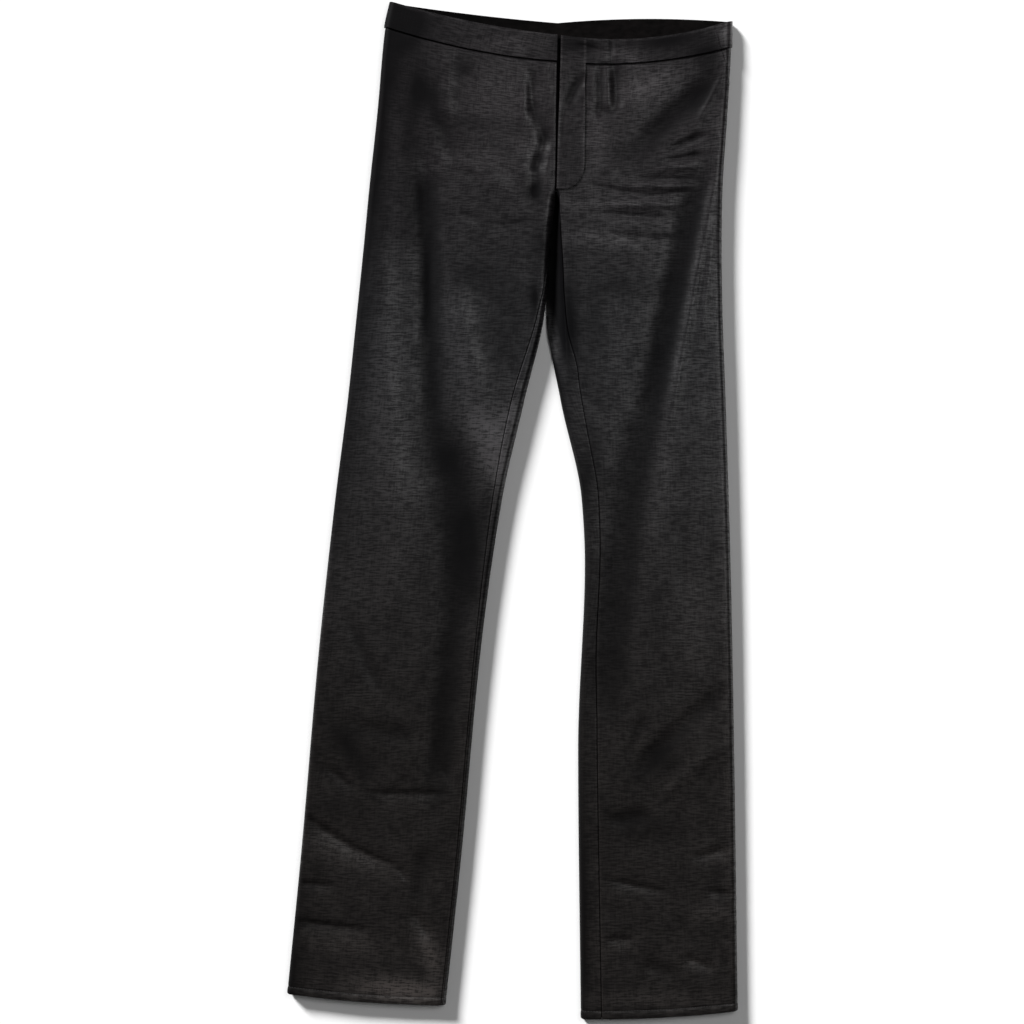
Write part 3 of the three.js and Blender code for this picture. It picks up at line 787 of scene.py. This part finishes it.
class Finish:
    """A material whose nodes are made one by one. At the end, surface gives it its shader."""

    def __init__(self, name):
        self.material = bpy.data.materials.new(name)
        self.material.use_nodes = True
        self.tree = self.material.node_tree
        self.tree.nodes.clear()

    def node(self, kind, settings=None, sockets=None):
        """Makes a node: its settings first, then the values or links of its sockets. Returns its outputs."""
        made = self.tree.nodes.new("ShaderNode" + kind)
        for name, value in (settings or {}).items():
            setattr(made, name, value)
        for name, value in (sockets or {}).items():
            if isinstance(value, Value):
                self.tree.links.new(value.socket, made.inputs[name])
            else:
                made.inputs[name].default_value = value
        return [Value(self, output) for output in made.outputs]

    def stretched(self, place, across, down, shift):
        """A vector that grows by 1 over so many metres across and down the cloth."""
        return self.node("CombineXYZ", None, {0: place[0] / across, 1: place[1] / down, 2: shift})[0]

    def noise(self, vector, detail, roughness):
        sockets = {"Vector": vector, "Scale": 1.0, "Detail": detail, "Roughness": roughness}
        return self.node("TexNoise", None, sockets)[0]

    def blend(self, low, high, share, way="MIX"):
        """A colour between two, which may be links, or a colour times another."""
        sockets = {SHARE: share, FIRST: low, SECOND: high}
        return self.node("Mix", {"data_type": "RGBA", "blend_type": way}, sockets)[MIXED]

    def surface(self, sockets):
        """Makes the shader and returns the finished material."""
        shader = self.node("BsdfPrincipled", None, sockets)[0]
        self.node("OutputMaterial", None, {"Surface": shader})
        return self.material


# %% Coated denim
# millimetres across and down the cloth, and a shift that keeps the patterns apart
WEFT, WARP = (12, 1.7, 3.1), (1.8, 14, 7.7)
CLOUD, GRAIN = (24, 22, 1.3), (1, 1, 5.9)
SLUB = {"weft": 4.2, "warp": 1.5, "grain": 0.8}  # how much each shows in a slub
SHOWN = {"plain": 0.46, "wear_and_light": 0.85, "foot": 0.08, "cloud": 0.5, "most": 2.3}
FOOT = {"from": 0.16, "over": 0.42}  # metres of Y: browner from here towards the hems
HIP = {"from": 0.22, "over": 0.2}  # and redder from here towards the waist
TINT, FOOT_TINT, HIP_TINT = (0.95, 0.94, 1.0, 1), (0.95, 0.82, 0.74, 1), (1.0, 0.85, 0.93, 1)
PALE, DARK = (0.0235, 0.0228, 0.0232, 1), (0.0020, 0.0020, 0.0023, 1)  # on a slub and beside it
WORN_AND_HIGHLIT = (0.060, 0.058, 0.060, 1)  # where the wax is rubbed most, and where the painted highlight is brightest


def kept_place(finish):
    """The three numbers that each point of the cloth keeps, one by one."""
    kept = finish.node("Attribute", {"attribute_name": "cloth"})[STORED]
    return finish.node("SeparateXYZ", None, {0: kept})


def object_place(finish):
    """X, Y and Z in the frame, one by one."""
    return finish.node("SeparateXYZ", None, {0: finish.node("TexCoord")[OBJECT]})


def yarn(finish, place, pattern, detail=3.0, roughness=0.6):
    """Noise stretched to the size of a pattern."""
    across, down, shift = pattern
    return finish.noise(finish.stretched(place, across * MM, down * MM, shift), detail, roughness)


def coated_denim(name, pale, dark, roughness):
    """Black denim under wax. shown is how pale the cloth is: 0 where painted shade is darkest, as in the
    hollows, over 1 where it is worn and painted with a highlight.
    """
    finish = Finish(name)
    place = kept_place(finish)
    wear_and_shade = place[2]
    weft, warp, cloud = (yarn(finish, place, pattern) for pattern in (WEFT, WARP, CLOUD))
    grain = yarn(finish, place, GRAIN, 1.0, 0.5)
    slub = 0.5 + (weft - 0.5) * SLUB["weft"] + (warp - 0.5) * SLUB["warp"] + (grain - 0.5) * SLUB["grain"]
    slub = slub.held()
    y = object_place(finish)[1]
    low = ((FOOT["from"] - y) / FOOT["over"]).held()
    high = ((y - HIP["from"]) / HIP["over"]).held()
    clouded = (cloud - 0.5) * SHOWN["cloud"] * (wear_and_shade * 2.0 + 1.0).held()
    # wear with painted light and painted shade, as stored at each point
    shown = SHOWN["plain"] + wear_and_shade * SHOWN["wear_and_light"] - low * SHOWN["foot"] + clouded
    shown = shown.held(0.0, SHOWN["most"])
    # from dark to pale, more so on a slub, and on to the worn colour, a painted highlight too, where shown
    # goes past 1
    shade = finish.blend(dark, pale, (shown * (0.28 + slub * 0.64)).held())
    shade = finish.blend(shade, WORN_AND_HIGHLIT, ((shown - 1.0) * slub * 0.8).held())
    tint = finish.blend(finish.blend(TINT, FOOT_TINT, low), HIP_TINT, high)
    colour = finish.blend(shade, tint, 1.0, "MULTIPLY")
    # a slub takes the shine of the wax, and where the painted shade is darkest there is none
    wax = (shown * (0.25 + slub * 0.9)).held()
    height = weft * 0.6 + warp * 0.4 + grain * 0.25
    bump = finish.node("Bump", None, {"Height": height, "Strength": 0.55, "Distance": 0.45 * MM})[0]
    return finish.surface(
        {
            "Base Color": colour,
            "Roughness": roughness,
            "Normal": bump,
            "Specular IOR Level": 0.06,
            "Coat Weight": wax,
            "Coat Roughness": 0.36,
        }
    )


denim = coated_denim("coated_denim", PALE, DARK, 0.62)
band_denim = coated_denim("band_coated_denim", PALE, DARK, 0.6)
print("coated finishes:", denim.name, "and", band_denim.name)

# %% [markdown]
# ## Bare cloth, thread and paper
#
# The inside of the jeans has no wax: it is dull twill with fine slanted ribs, and a wave along the slant
# makes them. Only a strip of it shows inside the back waistband; painted shade makes it darker towards the
# wearer's right, so it is paler towards the wearer's left. The thread is black too, with flecks from its
# twist. The floor is matt paper with a mottle too faint to catch the eye.

# %% Inside of the cloth
TWILL = {"slant": 0.8, "rib": 1.1}  # the rib's slope, and its width in millimetres
BARE_CLOUD = (9, 5, 2.2)
BARE_PAINTED_SHADE = {"from": 0.06, "over": 0.12, "least": 0.3}  # painted shade, darker towards -X; metres of X: 6 cm each side of the middle


def bare_denim(name, pale, dark):
    """The uncoated side: dull black twill, with fine slanted ribs."""
    finish = Finish(name)
    place = kept_place(finish)
    slant = (place[0] + place[1] * TWILL["slant"]) / (TWILL["rib"] * MM)
    rib = finish.node("Math", {"operation": "SINE"}, {0: slant * math.tau})[0]
    cloud = yarn(finish, place, BARE_CLOUD, 4.0)
    # painted shade: the inside is darker towards -X
    paler = ((object_place(finish)[0] + BARE_PAINTED_SHADE["from"]) / BARE_PAINTED_SHADE["over"]).held()
    mottle = (cloud - 0.5) * 1.5 + 0.5 + rib * 0.08
    mottle *= paler * (1 - BARE_PAINTED_SHADE["least"]) + BARE_PAINTED_SHADE["least"]
    shade = finish.blend(dark, pale, mottle.held())
    height = rib * 0.4 + cloud
    bump = finish.node("Bump", None, {"Height": height, "Strength": 0.4, "Distance": 0.2 * MM})[0]
    sockets = {"Base Color": shade, "Roughness": 0.86, "Normal": bump, "Specular IOR Level": 0.03}
    return finish.surface(sockets)


inside = bare_denim("denim_inside", (0.0060, 0.0050, 0.0050, 1), (0.0003, 0.0003, 0.0003, 1))
shield_denim = bare_denim("shield_inside", (0.0030, 0.0029, 0.0030, 1), (0.0010, 0.0010, 0.0011, 1))
print("bare finishes:", inside.name, "and", shield_denim.name)

# %% Thread
FLECKS = 1400.0  # to a metre, so about three along a stitch


def sewing_thread(name, pale, dark):
    """Twisted black thread, a little paler than the cloth."""
    finish = Finish(name)
    place = finish.node("TexCoord")[OBJECT]
    fleck = finish.node("TexNoise", None, {"Vector": place, "Scale": FLECKS, "Detail": 2.0})[0]
    return finish.surface({"Base Color": finish.blend(dark, pale, fleck), "Roughness": 0.62 + fleck * 0.1})


thread = sewing_thread("black_thread", (0.020, 0.019, 0.020, 1), (0.006, 0.006, 0.006, 1))
print("thread:", thread.name)

# %% Floor paper
PAPER_TONE, MOTTLE_TONE = 0.9, 0.02


def paper(name, tone):
    """Matt white paper with a very faint mottle."""
    finish = Finish(name)
    place = finish.node("TexCoord")[OBJECT]
    mottle = finish.node("TexNoise", None, {"Vector": place, "Scale": 3.0, "Detail": 2.0})[0]
    pale = tone + MOTTLE_TONE
    colour = finish.blend((tone, tone, tone, 1), (pale, pale, pale, 1), mottle)
    return finish.surface({"Base Color": colour, "Roughness": 0.9, "Specular IOR Level": 0.0})


floor.data.materials.append(paper("floor_paper", PAPER_TONE))
print("floor:", floor.data.materials[0].name)

# %% [markdown]
# ## Fronts and backs
#
# Each leg has a front panel and a back panel. The front runs from the side seam to the centre, and below
# the crotch to the inseam. The back passes under the leg and comes over the inner edge to the inseam, which
# is why that seam shows a finger or two from the edge. One mesh for each leg would be simpler, but then a
# seam would be only a drawn line. Each panel is made on its own, with turned edges, as it is cut and sewn.
# At the foot the cloth is turned up 9 mm and stitched. Along the edges towards +X the coat is painted paler,
# as a painted highlight, and along the edges towards -X it is painted darker, as painted shade.

# %% Hem
NEAR_HEM = np.array([0, 0.25, 0.6, 1.1, 1.8, 2.8, 4, 5.4, 6.8, 7.8, 8.4, 9, 9.6, 10.4, 12])
STITCH_LEVEL = HEM_LEVEL - 8.4
HEM_PUFF = {"height": 0.35, "pucker": 0.14}  # between the stitches and the fold
PUCKER = {"apart": 7.0, "slant": 19.0, "sway": 1.3, "sway_length": 11}  # millimetres, and sway in radians
DRAWN_IN = {"depth": 0.4, "width": 0.9}  # along the stitches


def hem_shape(level, distance):
    """The turned-up hem puffs a little, puckers on the slant and is drawn in by its stitches."""
    depth = np.clip((level - STITCH_LEVEL) / (HEM_LEVEL - STITCH_LEVEL), 0, 1)[:, None]
    sway = PUCKER["sway"] * np.sin(distance / PUCKER["sway_length"])
    pucker = np.sin(math.tau * (distance / PUCKER["apart"] + level[:, None] / PUCKER["slant"]) + sway)
    drawn = DRAWN_IN["depth"] * np.exp(-(((level - STITCH_LEVEL) / DRAWN_IN["width"]) ** 2))[:, None]
    return np.sin(np.pi * depth) * (HEM_PUFF["height"] + HEM_PUFF["pucker"] * pucker) - drawn


print("hem stitches at level", STITCH_LEVEL)


# %% Where the panels end
PANEL_TOP = BAND_LEVEL + 0.4
SLOT = {"top": 3.2, "bottom": 0.8}  # width of the slot beside the placket


def slot_width(level):
    """The slot narrows gently from the waist to the placket's end."""
    return mix(SLOT["top"], SLOT["bottom"], smooth(0, PLACKET_LEVEL, level))


def inseam_at(half, level):
    """How far the inseam lies from the inner edge along the cloth. Above the crotch there is none."""
    return np.where(level > CROTCH_LEVEL[half], value_at(INSEAM[half], level), 0)


print("slot beside the placket, top to bottom:", SLOT["top"], "to", SLOT["bottom"], "mm")

# %% Painted light and shade on the rims
# painted light and shade beside the outer edge and beside the inner edge: amount and width, twice
RIM_LIGHT_AND_SHADE = {
    "right": (((-0.45, 18), (-0.75, 7)), ((0.15, 9), (0.6, 3))),
    "left": (((0.75, 12), (1.2, 4)), ((-1.1, 9), (-0.5, 3))),
}
LEGS = (300, 380)  # the inner edges get their painted light and shade from here down
SHIN = {"starts": (520, 680), "ends": (1060, 960), "share": 0.25}  # the right shin's painted shade is weaker


def rim_light_and_shade(half, level, distance):
    """Painted light and shade on both legs: the edge towards -X gets painted shade and the edge towards +X a
    painted highlight.
    """
    inner = np.abs(distance + widths(half, level)[1][:, None])
    outer, middle = RIM_LIGHT_AND_SHADE[half]
    legs = smooth(*LEGS, level)[:, None]
    # painted shade on the edges towards -X, a painted highlight on the edges towards +X
    amount = sum(much * np.exp(-((distance / wide) ** 2)) for much, wide in outer)
    if half == "right":
        shin = smooth(*SHIN["starts"], level) * smooth(*SHIN["ends"], level)
        amount = amount * mix(1, SHIN["share"], shin)[:, None]
    return amount + legs * sum(much * np.exp(-((inner / wide) ** 2)) for much, wide in middle)


for half in PLAN:
    rim = float(rim_light_and_shade(half, KNEE, np.zeros((1, 1)))[0, 0])
    print(half, "outer edge at the knee, rubbed by", round(rim, 2))

# %% Panels
# how far from a panel's edge the cloth turns under, and how deep
SIDE_TURN = {"right": (1.7, 0.9), "left": (1.7, 0.12)}
MIDDLE_TURN, TOP_TURN, FOOT_TURN = (1.7, 0.9), (3.2, 1.0), (1.3, 1.1)
SEAM_HIGHLIGHT = {"amount": 0.12, "from_edge": 1.6}  # painted highlight: the pale line beside a seam


def panel(name, half, level, distance, painted_shade=0.0):
    """A front or back panel from its levels and its distances along the cloth, one row for each level."""
    points = cloth_points(half, level, distance)
    normals = outward(points, half, distance)
    starts, ends = np.abs(distance - distance[:, :1]), np.abs(distance[:, -1:] - distance)
    drop = turned_under(starts, *SIDE_TURN[half]) + turned_under(ends, *MIDDLE_TURN)
    drop += turned_under(level - level[0], *TOP_TURN)[:, None]
    drop += turned_under(HEM_LEVEL - level, *FOOT_TURN)[:, None]
    # wear with painted light and shade, less the painted shade beside the crotch
    wear_and_shade = wear_and_light(points) + rim_light_and_shade(half, level, distance) - painted_shade
    # a painted highlight beside each seam
    wear_and_shade += SEAM_HIGHLIGHT["amount"] * np.exp(-((np.minimum(starts, ends) - SEAM_HIGHLIGHT["from_edge"]) ** 2))
    down = np.repeat(level[:, None], distance.shape[1], 1)
    place = np.stack([distance * MM, down * MM, wear_and_shade], axis=2)
    points = moved(points, normals, hem_shape(level, distance)) - normals * drop[..., None]
    thick = np.where(down >= STITCH_LEVEL, HEM_CLOTH, CLOTH)
    piece, thickest = lay_grid(name + "_cloth", points, normals, place, thick)
    thicken(piece, thickest, [denim, inside])
    place_in_frame(piece, name)
    note_cut(piece, level, distance)
    return piece


# %% Two fronts
FRONT_ROWS, FRONT_COLUMNS = 470, 80


def front(half):
    """From the side seam to the centre, to the slot or to the inseam."""
    level = crowded(PANEL_TOP, HEM_LEVEL, FRONT_ROWS, NEAR_EDGE, NEAR_HEM)[0]
    slot = slot_width(level) * (level < PLACKET_LEVEL) * (half == "left")
    end = widths(half, level)[0] - inseam_at(half, level) - SEAM_GAP / 2 - slot
    distance = crowded(value_at(SIDE_SEAM[half], level) + SEAM_GAP / 2, end, FRONT_COLUMNS)
    return panel(f"front_{half}", half, level, distance)


fronts = [front(half) for half in PLAN]
print("fronts:", len(fronts))

# %% Two backs
BACK_ROWS, BACK_COLUMNS = 300, 90
# where the left back comes over the inner edge, painted shade darkens it beside the crotch, and it is a
# little paler below it
CROTCH_SHADE = {"high": 1.4, "low": -0.1, "levels": (375, 265), "ends": (620, 450), "past_edge": (-2, 1)}


def back(half):
    """From the side seam, under the leg, to the centre or over the inner edge to the inseam."""
    level = crowded(PANEL_TOP, HEM_LEVEL, BACK_ROWS, NEAR_EDGE, NEAR_HEM)[0]
    end = -widths(half, level)[1] - inseam_at(half, level) + SEAM_GAP / 2
    distance = crowded(value_at(SIDE_SEAM[half], level) - SEAM_GAP / 2, end, BACK_COLUMNS)
    past = -distance - widths(half, level)[1][:, None]
    # painted shade beside the crotch, a little paler below it
    painted_shade = mix(CROTCH_SHADE["low"], CROTCH_SHADE["high"], smooth(*CROTCH_SHADE["levels"], level))
    painted_shade = painted_shade * smooth(*CROTCH_SHADE["ends"], level) * (half == "left")
    painted_shade = painted_shade[:, None] * smooth(*CROTCH_SHADE["past_edge"], past)
    return panel(f"back_{half}", half, level, distance, painted_shade)


backs = [back(half) for half in PLAN]
print("backs:", len(backs))

# %% [markdown]
# ## Waistband
#
# The waistband is two layers of the same cloth, 29 mm deep, sewn on over the tops of the panels, so it
# stands proud of them. The right front runs from the side seam to the fly slot. The back is one piece that
# comes round the left edge to the front, and its inside shows above the front because the back is cut
# higher. A band could be a strip bent along a curve. Reading the same rings as the panels keeps it on them
# everywhere.

# %% Grids that lie proud of the panels
BAND_PROUD, BAND_BEVEL = 1.4, 0.55
BAND_SHIFT = 0.7  # metres: keeps the slubs of the band apart from those of the panels
BAND_DULL = {"right": 0.12, "left": 0.26}  # how much duller the band is than the panels
TOP_HIGHLIGHT = {"amount": 0.3, "level": 1.2, "width": 1.2}  # painted highlight: the pale line along the top
AT_BAND = NEAR_EDGE[:6]
BAND_COLUMNS = 90
BAND_ROWS = crowded(0, BAND_LEVEL, 14, AT_BAND, AT_BAND)[0]


def band_grid(half, level, distance):
    """Points that lie proud of the panels, their normals, and what is stored at each."""
    points = cloth_points(half, level, distance)
    normals = outward(points, half, distance)
    wear_and_shade = wear_and_light(points) + rim_light_and_shade(half, level, distance) - BAND_DULL[half]
    # a painted highlight along the top of the band
    wear_and_shade += TOP_HIGHLIGHT["amount"] * np.exp(-(((level - TOP_HIGHLIGHT["level"]) / TOP_HIGHLIGHT["width"]) ** 2))[:, None]
    down = np.repeat(level[:, None], distance.shape[1], 1)
    place = np.stack([distance * MM + BAND_SHIFT, down * MM, wear_and_shade], axis=2)
    return moved(points, normals, np.full(distance.shape, BAND_PROUD)), normals, place


def sew_band(name, grid, level, distance):
    """A band with its thickness, its finish and its place in the frame."""
    piece, thickest = lay_grid(name + "_cloth", *grid, BAND_CLOTH)
    thicken(piece, thickest, [band_denim, inside], BAND_BEVEL)
    place_in_frame(piece, name)
    note_cut(piece, level, distance)
    return piece


print("band:", BAND_LEVEL, "mm deep, in", len(BAND_ROWS), "rows")


# %% Right front band and back band
def band_right():
    """From the side seam to the slot."""
    start = value_at(SIDE_SEAM["right"], BAND_ROWS) + SEAM_GAP / 2
    end = widths("right", BAND_ROWS)[0] - SEAM_GAP / 2
    distance = crowded(start, end, BAND_COLUMNS, AT_BAND, AT_BAND)
    return sew_band("waistband_right", band_grid("right", BAND_ROWS, distance), BAND_ROWS, distance)


def half_of_back(half):
    """Distances from a side seam, under the back, to the centre."""
    start = value_at(SIDE_SEAM[half], BAND_ROWS) - SEAM_GAP / 2
    return crowded(start, -widths(half, BAND_ROWS)[1], BAND_COLUMNS, AT_BAND, [0.0])


def band_back():
    """From side seam to side seam. The two halves meet at the centre in one shared column."""
    right, left = half_of_back("right"), half_of_back("left")
    halves = zip(band_grid("right", BAND_ROWS, right), band_grid("left", BAND_ROWS, left))
    grid = [np.concatenate([a[:, :-1], (a[:, -1:] + b[:, -1:]) / 2, b[:, -2::-1]], axis=1) for a, b in halves]
    around = np.hstack([-right, -right[:, -1:] + (left - left[:, -1:])[:, -2::-1]])
    return sew_band("waistband_back", grid, BAND_ROWS, around)


bands = [band_right(), band_back()]
print("bands:", len(bands))

# %% [markdown]
# ## Left front band and placket
#
# On the left the band and the fly placket are cut in one, as an L. The placket is 31 mm wide and ends in a
# J: its lower end is level by the slot and turns up round a corner to its outer edge. A grid is laid over
# the whole L, and the cells that are not cloth are taken away.

# %% Left front band and placket
PLACKET_WIDTH = 31
PLACKET_CORNER = {"across": 20, "rise": 34}
PLACKET_SHIFT = 1.3  # metres, for its slubs
PLACKET_DULL = 0.1
PLACKET_HIGHLIGHT = {"amount": 0.4, "from_edge": 1.0}  # painted highlight: the pale line beside its edges
PLACKET_ROWS, PLACKET_COLUMNS, ARM_COLUMNS = 70, 14, 80


def placket_end(distance):
    """Level of the placket's lower end at a distance from the centre."""
    into = np.maximum(0, distance - (PLACKET_WIDTH - PLACKET_CORNER["across"])) / PLACKET_CORNER["across"]
    return PLACKET_LEVEL - PLACKET_CORNER["rise"] * (1 - np.sqrt(np.maximum(0, 1 - into**2)))


def placket_grid(share, level):
    """Points of the placket, column by column, because each of its points has a level of its own."""
    points, distance = [], []
    for part, levels in zip(share, level.T):
        middle = widths("left", levels)[0] - SEAM_GAP / 2
        distance.append((middle - mix(slot_width(levels), PLACKET_WIDTH, part))[:, None])
        points.append(cloth_points("left", levels, distance[-1]))
    return np.concatenate(points, axis=1), np.concatenate(distance, axis=1)


def band_fly_left():
    """The placket and its band, with the arm of the band that goes on to the side seam."""
    share = crowded(0, PLACKET_WIDTH, PLACKET_COLUMNS, AT_BAND, AT_BAND)[0] / PLACKET_WIDTH
    low = placket_end(mix(SLOT["top"], PLACKET_WIDTH, share))
    below = crowded(0, 1, PLACKET_ROWS, [0.0], AT_BAND / PLACKET_LEVEL)[0][1:]
    level = np.vstack([np.repeat(BAND_ROWS[:, None], len(share), 1), mix(BAND_LEVEL, low, below[:, None])])
    points, distance = placket_grid(share, level)
    normals = outward(points, "left", distance)
    edge = np.minimum(share, 1 - share) * PLACKET_WIDTH
    # a painted highlight beside the placket's edges
    highlight_line = PLACKET_HIGHLIGHT["amount"] * np.exp(-((edge - PLACKET_HIGHLIGHT["from_edge"]) ** 2))
    wear_and_shade = wear_and_light(points) - PLACKET_DULL + highlight_line
    place = np.stack([distance * MM + PLACKET_SHIFT, level * MM, wear_and_shade], axis=2)
    points = moved(points, normals, np.full(distance.shape, BAND_PROUD))

    rows = len(BAND_ROWS)
    seam = value_at(SIDE_SEAM["left"], BAND_ROWS) + SEAM_GAP / 2
    onward = crowded(distance[:rows, -1], seam, ARM_COLUMNS, [0.0], AT_BAND)
    grid = [part[:, 1:] for part in band_grid("left", BAND_ROWS, onward)]
    grid[2][..., 0] += PLACKET_SHIFT - BAND_SHIFT
    fill = len(level) - rows
    grid = [np.concatenate([part, np.repeat(part[-1:], fill, 0)]) for part in grid]
    whole = [np.concatenate(parts, axis=1) for parts in zip((points, normals, place), grid)]
    thick = np.full(whole[0].shape[:2], CLOTH)
    thick[:rows] = BAND_CLOTH
    kept = np.ones(np.subtract(thick.shape, 1), bool)
    kept[rows - 1 :, len(share) - 1 :] = False
    piece, thickest = lay_grid("waistband_fly_left_cloth", *whole, thick, kept)
    thicken(piece, thickest, [band_denim, inside], BAND_BEVEL)
    place_in_frame(piece, "waistband_fly_left")
    band_run = float(np.mean(onward[:, 0] - onward[:, -1])) + PLACKET_WIDTH / 2
    run = band_run + PLACKET_LEVEL - BAND_LEVEL / 2
    cut[piece] = (BAND_LEVEL * MM, run * MM, BAND_LEVEL * run * MM**2)
    print(piece.name, "an L, along its middle:", round(run), "mm")
    return piece


bands.append(band_fly_left())

# %% [markdown]
# ## Shield
#
# Behind the slot a strip of plain cloth closes the fly. Only a black line of it shows. A flat box would do
# for that line, but the strip reads the same rings, sunk a little, so that it follows the front's slope.

# %% Shield
SHIELD = {"top": 1.5, "right": 9, "left": 20, "sunk": 3.0}
SHIELD_ROWS, SHIELD_COLUMNS = 60, {"right": 8, "left": 14}


def shield():
    """A strip under the slot, across the centre from the right front to the left."""
    level = np.linspace(SHIELD["top"], PLACKET_LEVEL, SHIELD_ROWS)
    reaches = {
        "right": np.linspace(SHIELD["right"], 0, SHIELD_COLUMNS["right"]),
        "left": np.linspace(SEAM_GAP, SHIELD["left"], SHIELD_COLUMNS["left"]),
    }
    parts = []
    for half, reach in reaches.items():
        distance = widths(half, level)[0][:, None] - reach
        points = cloth_points(half, level, distance)
        parts.append((points, outward(points, half, distance), distance))
    points, normals, distance = (np.concatenate(part, axis=1) for part in zip(*parts))
    points[..., 2] -= SHIELD["sunk"]
    down = np.repeat(level[:, None], distance.shape[1], 1)
    place = np.stack([points[..., 0] * MM, down * MM, np.zeros(distance.shape)], axis=2)
    piece, thickest = lay_grid("fly_shield_cloth", points, normals, place, CLOTH)
    thicken(piece, thickest, [shield_denim, shield_denim])
    place_in_frame(piece, "fly_shield")
    note_cut(piece, level, np.repeat([[-SHIELD["right"], SHIELD["left"]]], len(level), 0))
    return piece


bands.append(shield())
print("bands and fly:", len(bands))

# %% [markdown]
# ## Stitches
#
# The hems are held by one row of black thread each. One stitch is modelled, a small capsule, and its copies
# are joined into one mesh for each leg. A dotted line in the finish would look the same from far off, but
# has no height, and a real stitch sits in the cloth and catches the light. A finer row runs down the right
# edge of the slot.

# %% One stitch
STITCH = {"long": 2.3, "thick": 0.52, "pitch": 3.2}
STEP = 0.6  # half of the step over which the slope of the cloth is measured
SUNK = {"over": 0.3, "under": 0.35, "slot": 0.05}  # how deep the stitches sit on the front, back and slot


def one_stitch():
    """Corners and faces of a stitch that lies along x, in millimetres."""
    bpy.ops.object.select_all(action="DESELECT")
    bpy.ops.mesh.primitive_uv_sphere_add(segments=6, ring_count=4, radius=0.5, rotation=(0, math.pi / 2, 0))
    bead = bpy.context.object
    bpy.ops.object.transform_apply(location=True, rotation=True, scale=True)
    corners = np.array([corner.co for corner in bead.data.vertices])
    corners *= (STITCH["long"], STITCH["thick"], STITCH["thick"])
    faces = [tuple(face.vertices) for face in bead.data.polygons]
    bpy.data.objects.remove(bead)
    return corners, faces


STITCH_CORNERS, STITCH_FACES = one_stitch()
print("one stitch:", len(STITCH_FACES), "faces")


def stitch_row(half, level, distance, sunk):
    """Places and directions of stitches on the cloth: at levels and distances, which are paths of one row."""
    rows = [cloth_points(half, level + step, distance[:, None])[:, 0] for step in (-STEP, 0, STEP)]
    side = [cloth_points(half, level, (distance + step)[:, None])[:, 0] for step in (-STEP, STEP)]
    out = np.cross(rows[2] - rows[0], side[1] - side[0]) * (1 if half == "right" else -1)
    out /= np.linalg.norm(out, axis=1, keepdims=True)
    run = np.gradient(rows[1], axis=0)
    run /= np.linalg.norm(run, axis=1, keepdims=True)
    return rows[1] - out * sunk, run, np.cross(out, run), out


def join_stitches(name, rows):
    """One mesh of all the stitches of some rows."""
    centre, run, wide, out = (np.concatenate(part)[:, None] for part in zip(*rows))
    x, y, z = STITCH_CORNERS.T[..., None]
    corners = centre + x * run + y * wide + z * out
    count = len(STITCH_CORNERS)
    faces = [tuple(k + count * n for k in face) for n in range(len(centre)) for face in STITCH_FACES]
    mesh = bpy.data.meshes.new(name)
    mesh.from_pydata((corners.reshape(-1, 3) * MM).tolist(), [], faces)
    piece = bpy.data.objects.new(name, mesh)
    bpy.context.collection.objects.link(piece)
    mesh.polygons.foreach_set("use_smooth", [True] * len(mesh.polygons))
    mesh.materials.append(thread)
    place_in_frame(piece)
    return piece


# %% Rows of stitches
CLEAR_OF_SEAM = {"side": 2.5, "inseam": 2}
SLOT_ROW = {"from_slot": 2.4, "below_band": 6, "above_end": 2}


def hem_stitches(half):
    """One row round a leg, over the front and under the back."""
    front_long, back_long = (value[0] for value in widths(half, np.array([STITCH_LEVEL])))
    seam = float(value_at(INSEAM[half], STITCH_LEVEL)[0])
    side = float(value_at(SIDE_SEAM[half], STITCH_LEVEL)[0])
    off_side, off_seam = CLEAR_OF_SEAM["side"], CLEAR_OF_SEAM["inseam"]
    over = np.arange(side + off_side, front_long - seam - off_seam, STITCH["pitch"])
    under = np.arange(side - off_side, -back_long - seam + off_seam, -STITCH["pitch"])
    rows = [
        stitch_row(half, np.full(len(over), STITCH_LEVEL), over, SUNK["over"]),
        stitch_row(half, np.full(len(under), STITCH_LEVEL), under, SUNK["under"]),
    ]
    return join_stitches(f"hem_stitches_{half}", rows)


def slot_stitches():
    """A row down the right edge of the slot."""
    first, last = BAND_LEVEL + SLOT_ROW["below_band"], PLACKET_LEVEL - SLOT_ROW["above_end"]
    level = np.arange(first, last, STITCH["pitch"])
    distance = widths("right", level)[0] - SLOT_ROW["from_slot"]
    return join_stitches("slot_stitches", [stitch_row("right", level, distance, SUNK["slot"])])


stitches = [hem_stitches("right"), hem_stitches("left"), slot_stitches()]
print("meshes of stitches:", len(stitches))

# %% [markdown]
# ## What each piece of cloth is
#
# The cut of every piece, as measured along the cloth, is kept in a table, and the areas are added up. The cut
# comes from the same distances as the mesh, so the two can't disagree.

covered = sum(area for _, _, area in cut.values())
print("sheets:", len(cut), "with", round(covered, 3), "square metres of cloth")
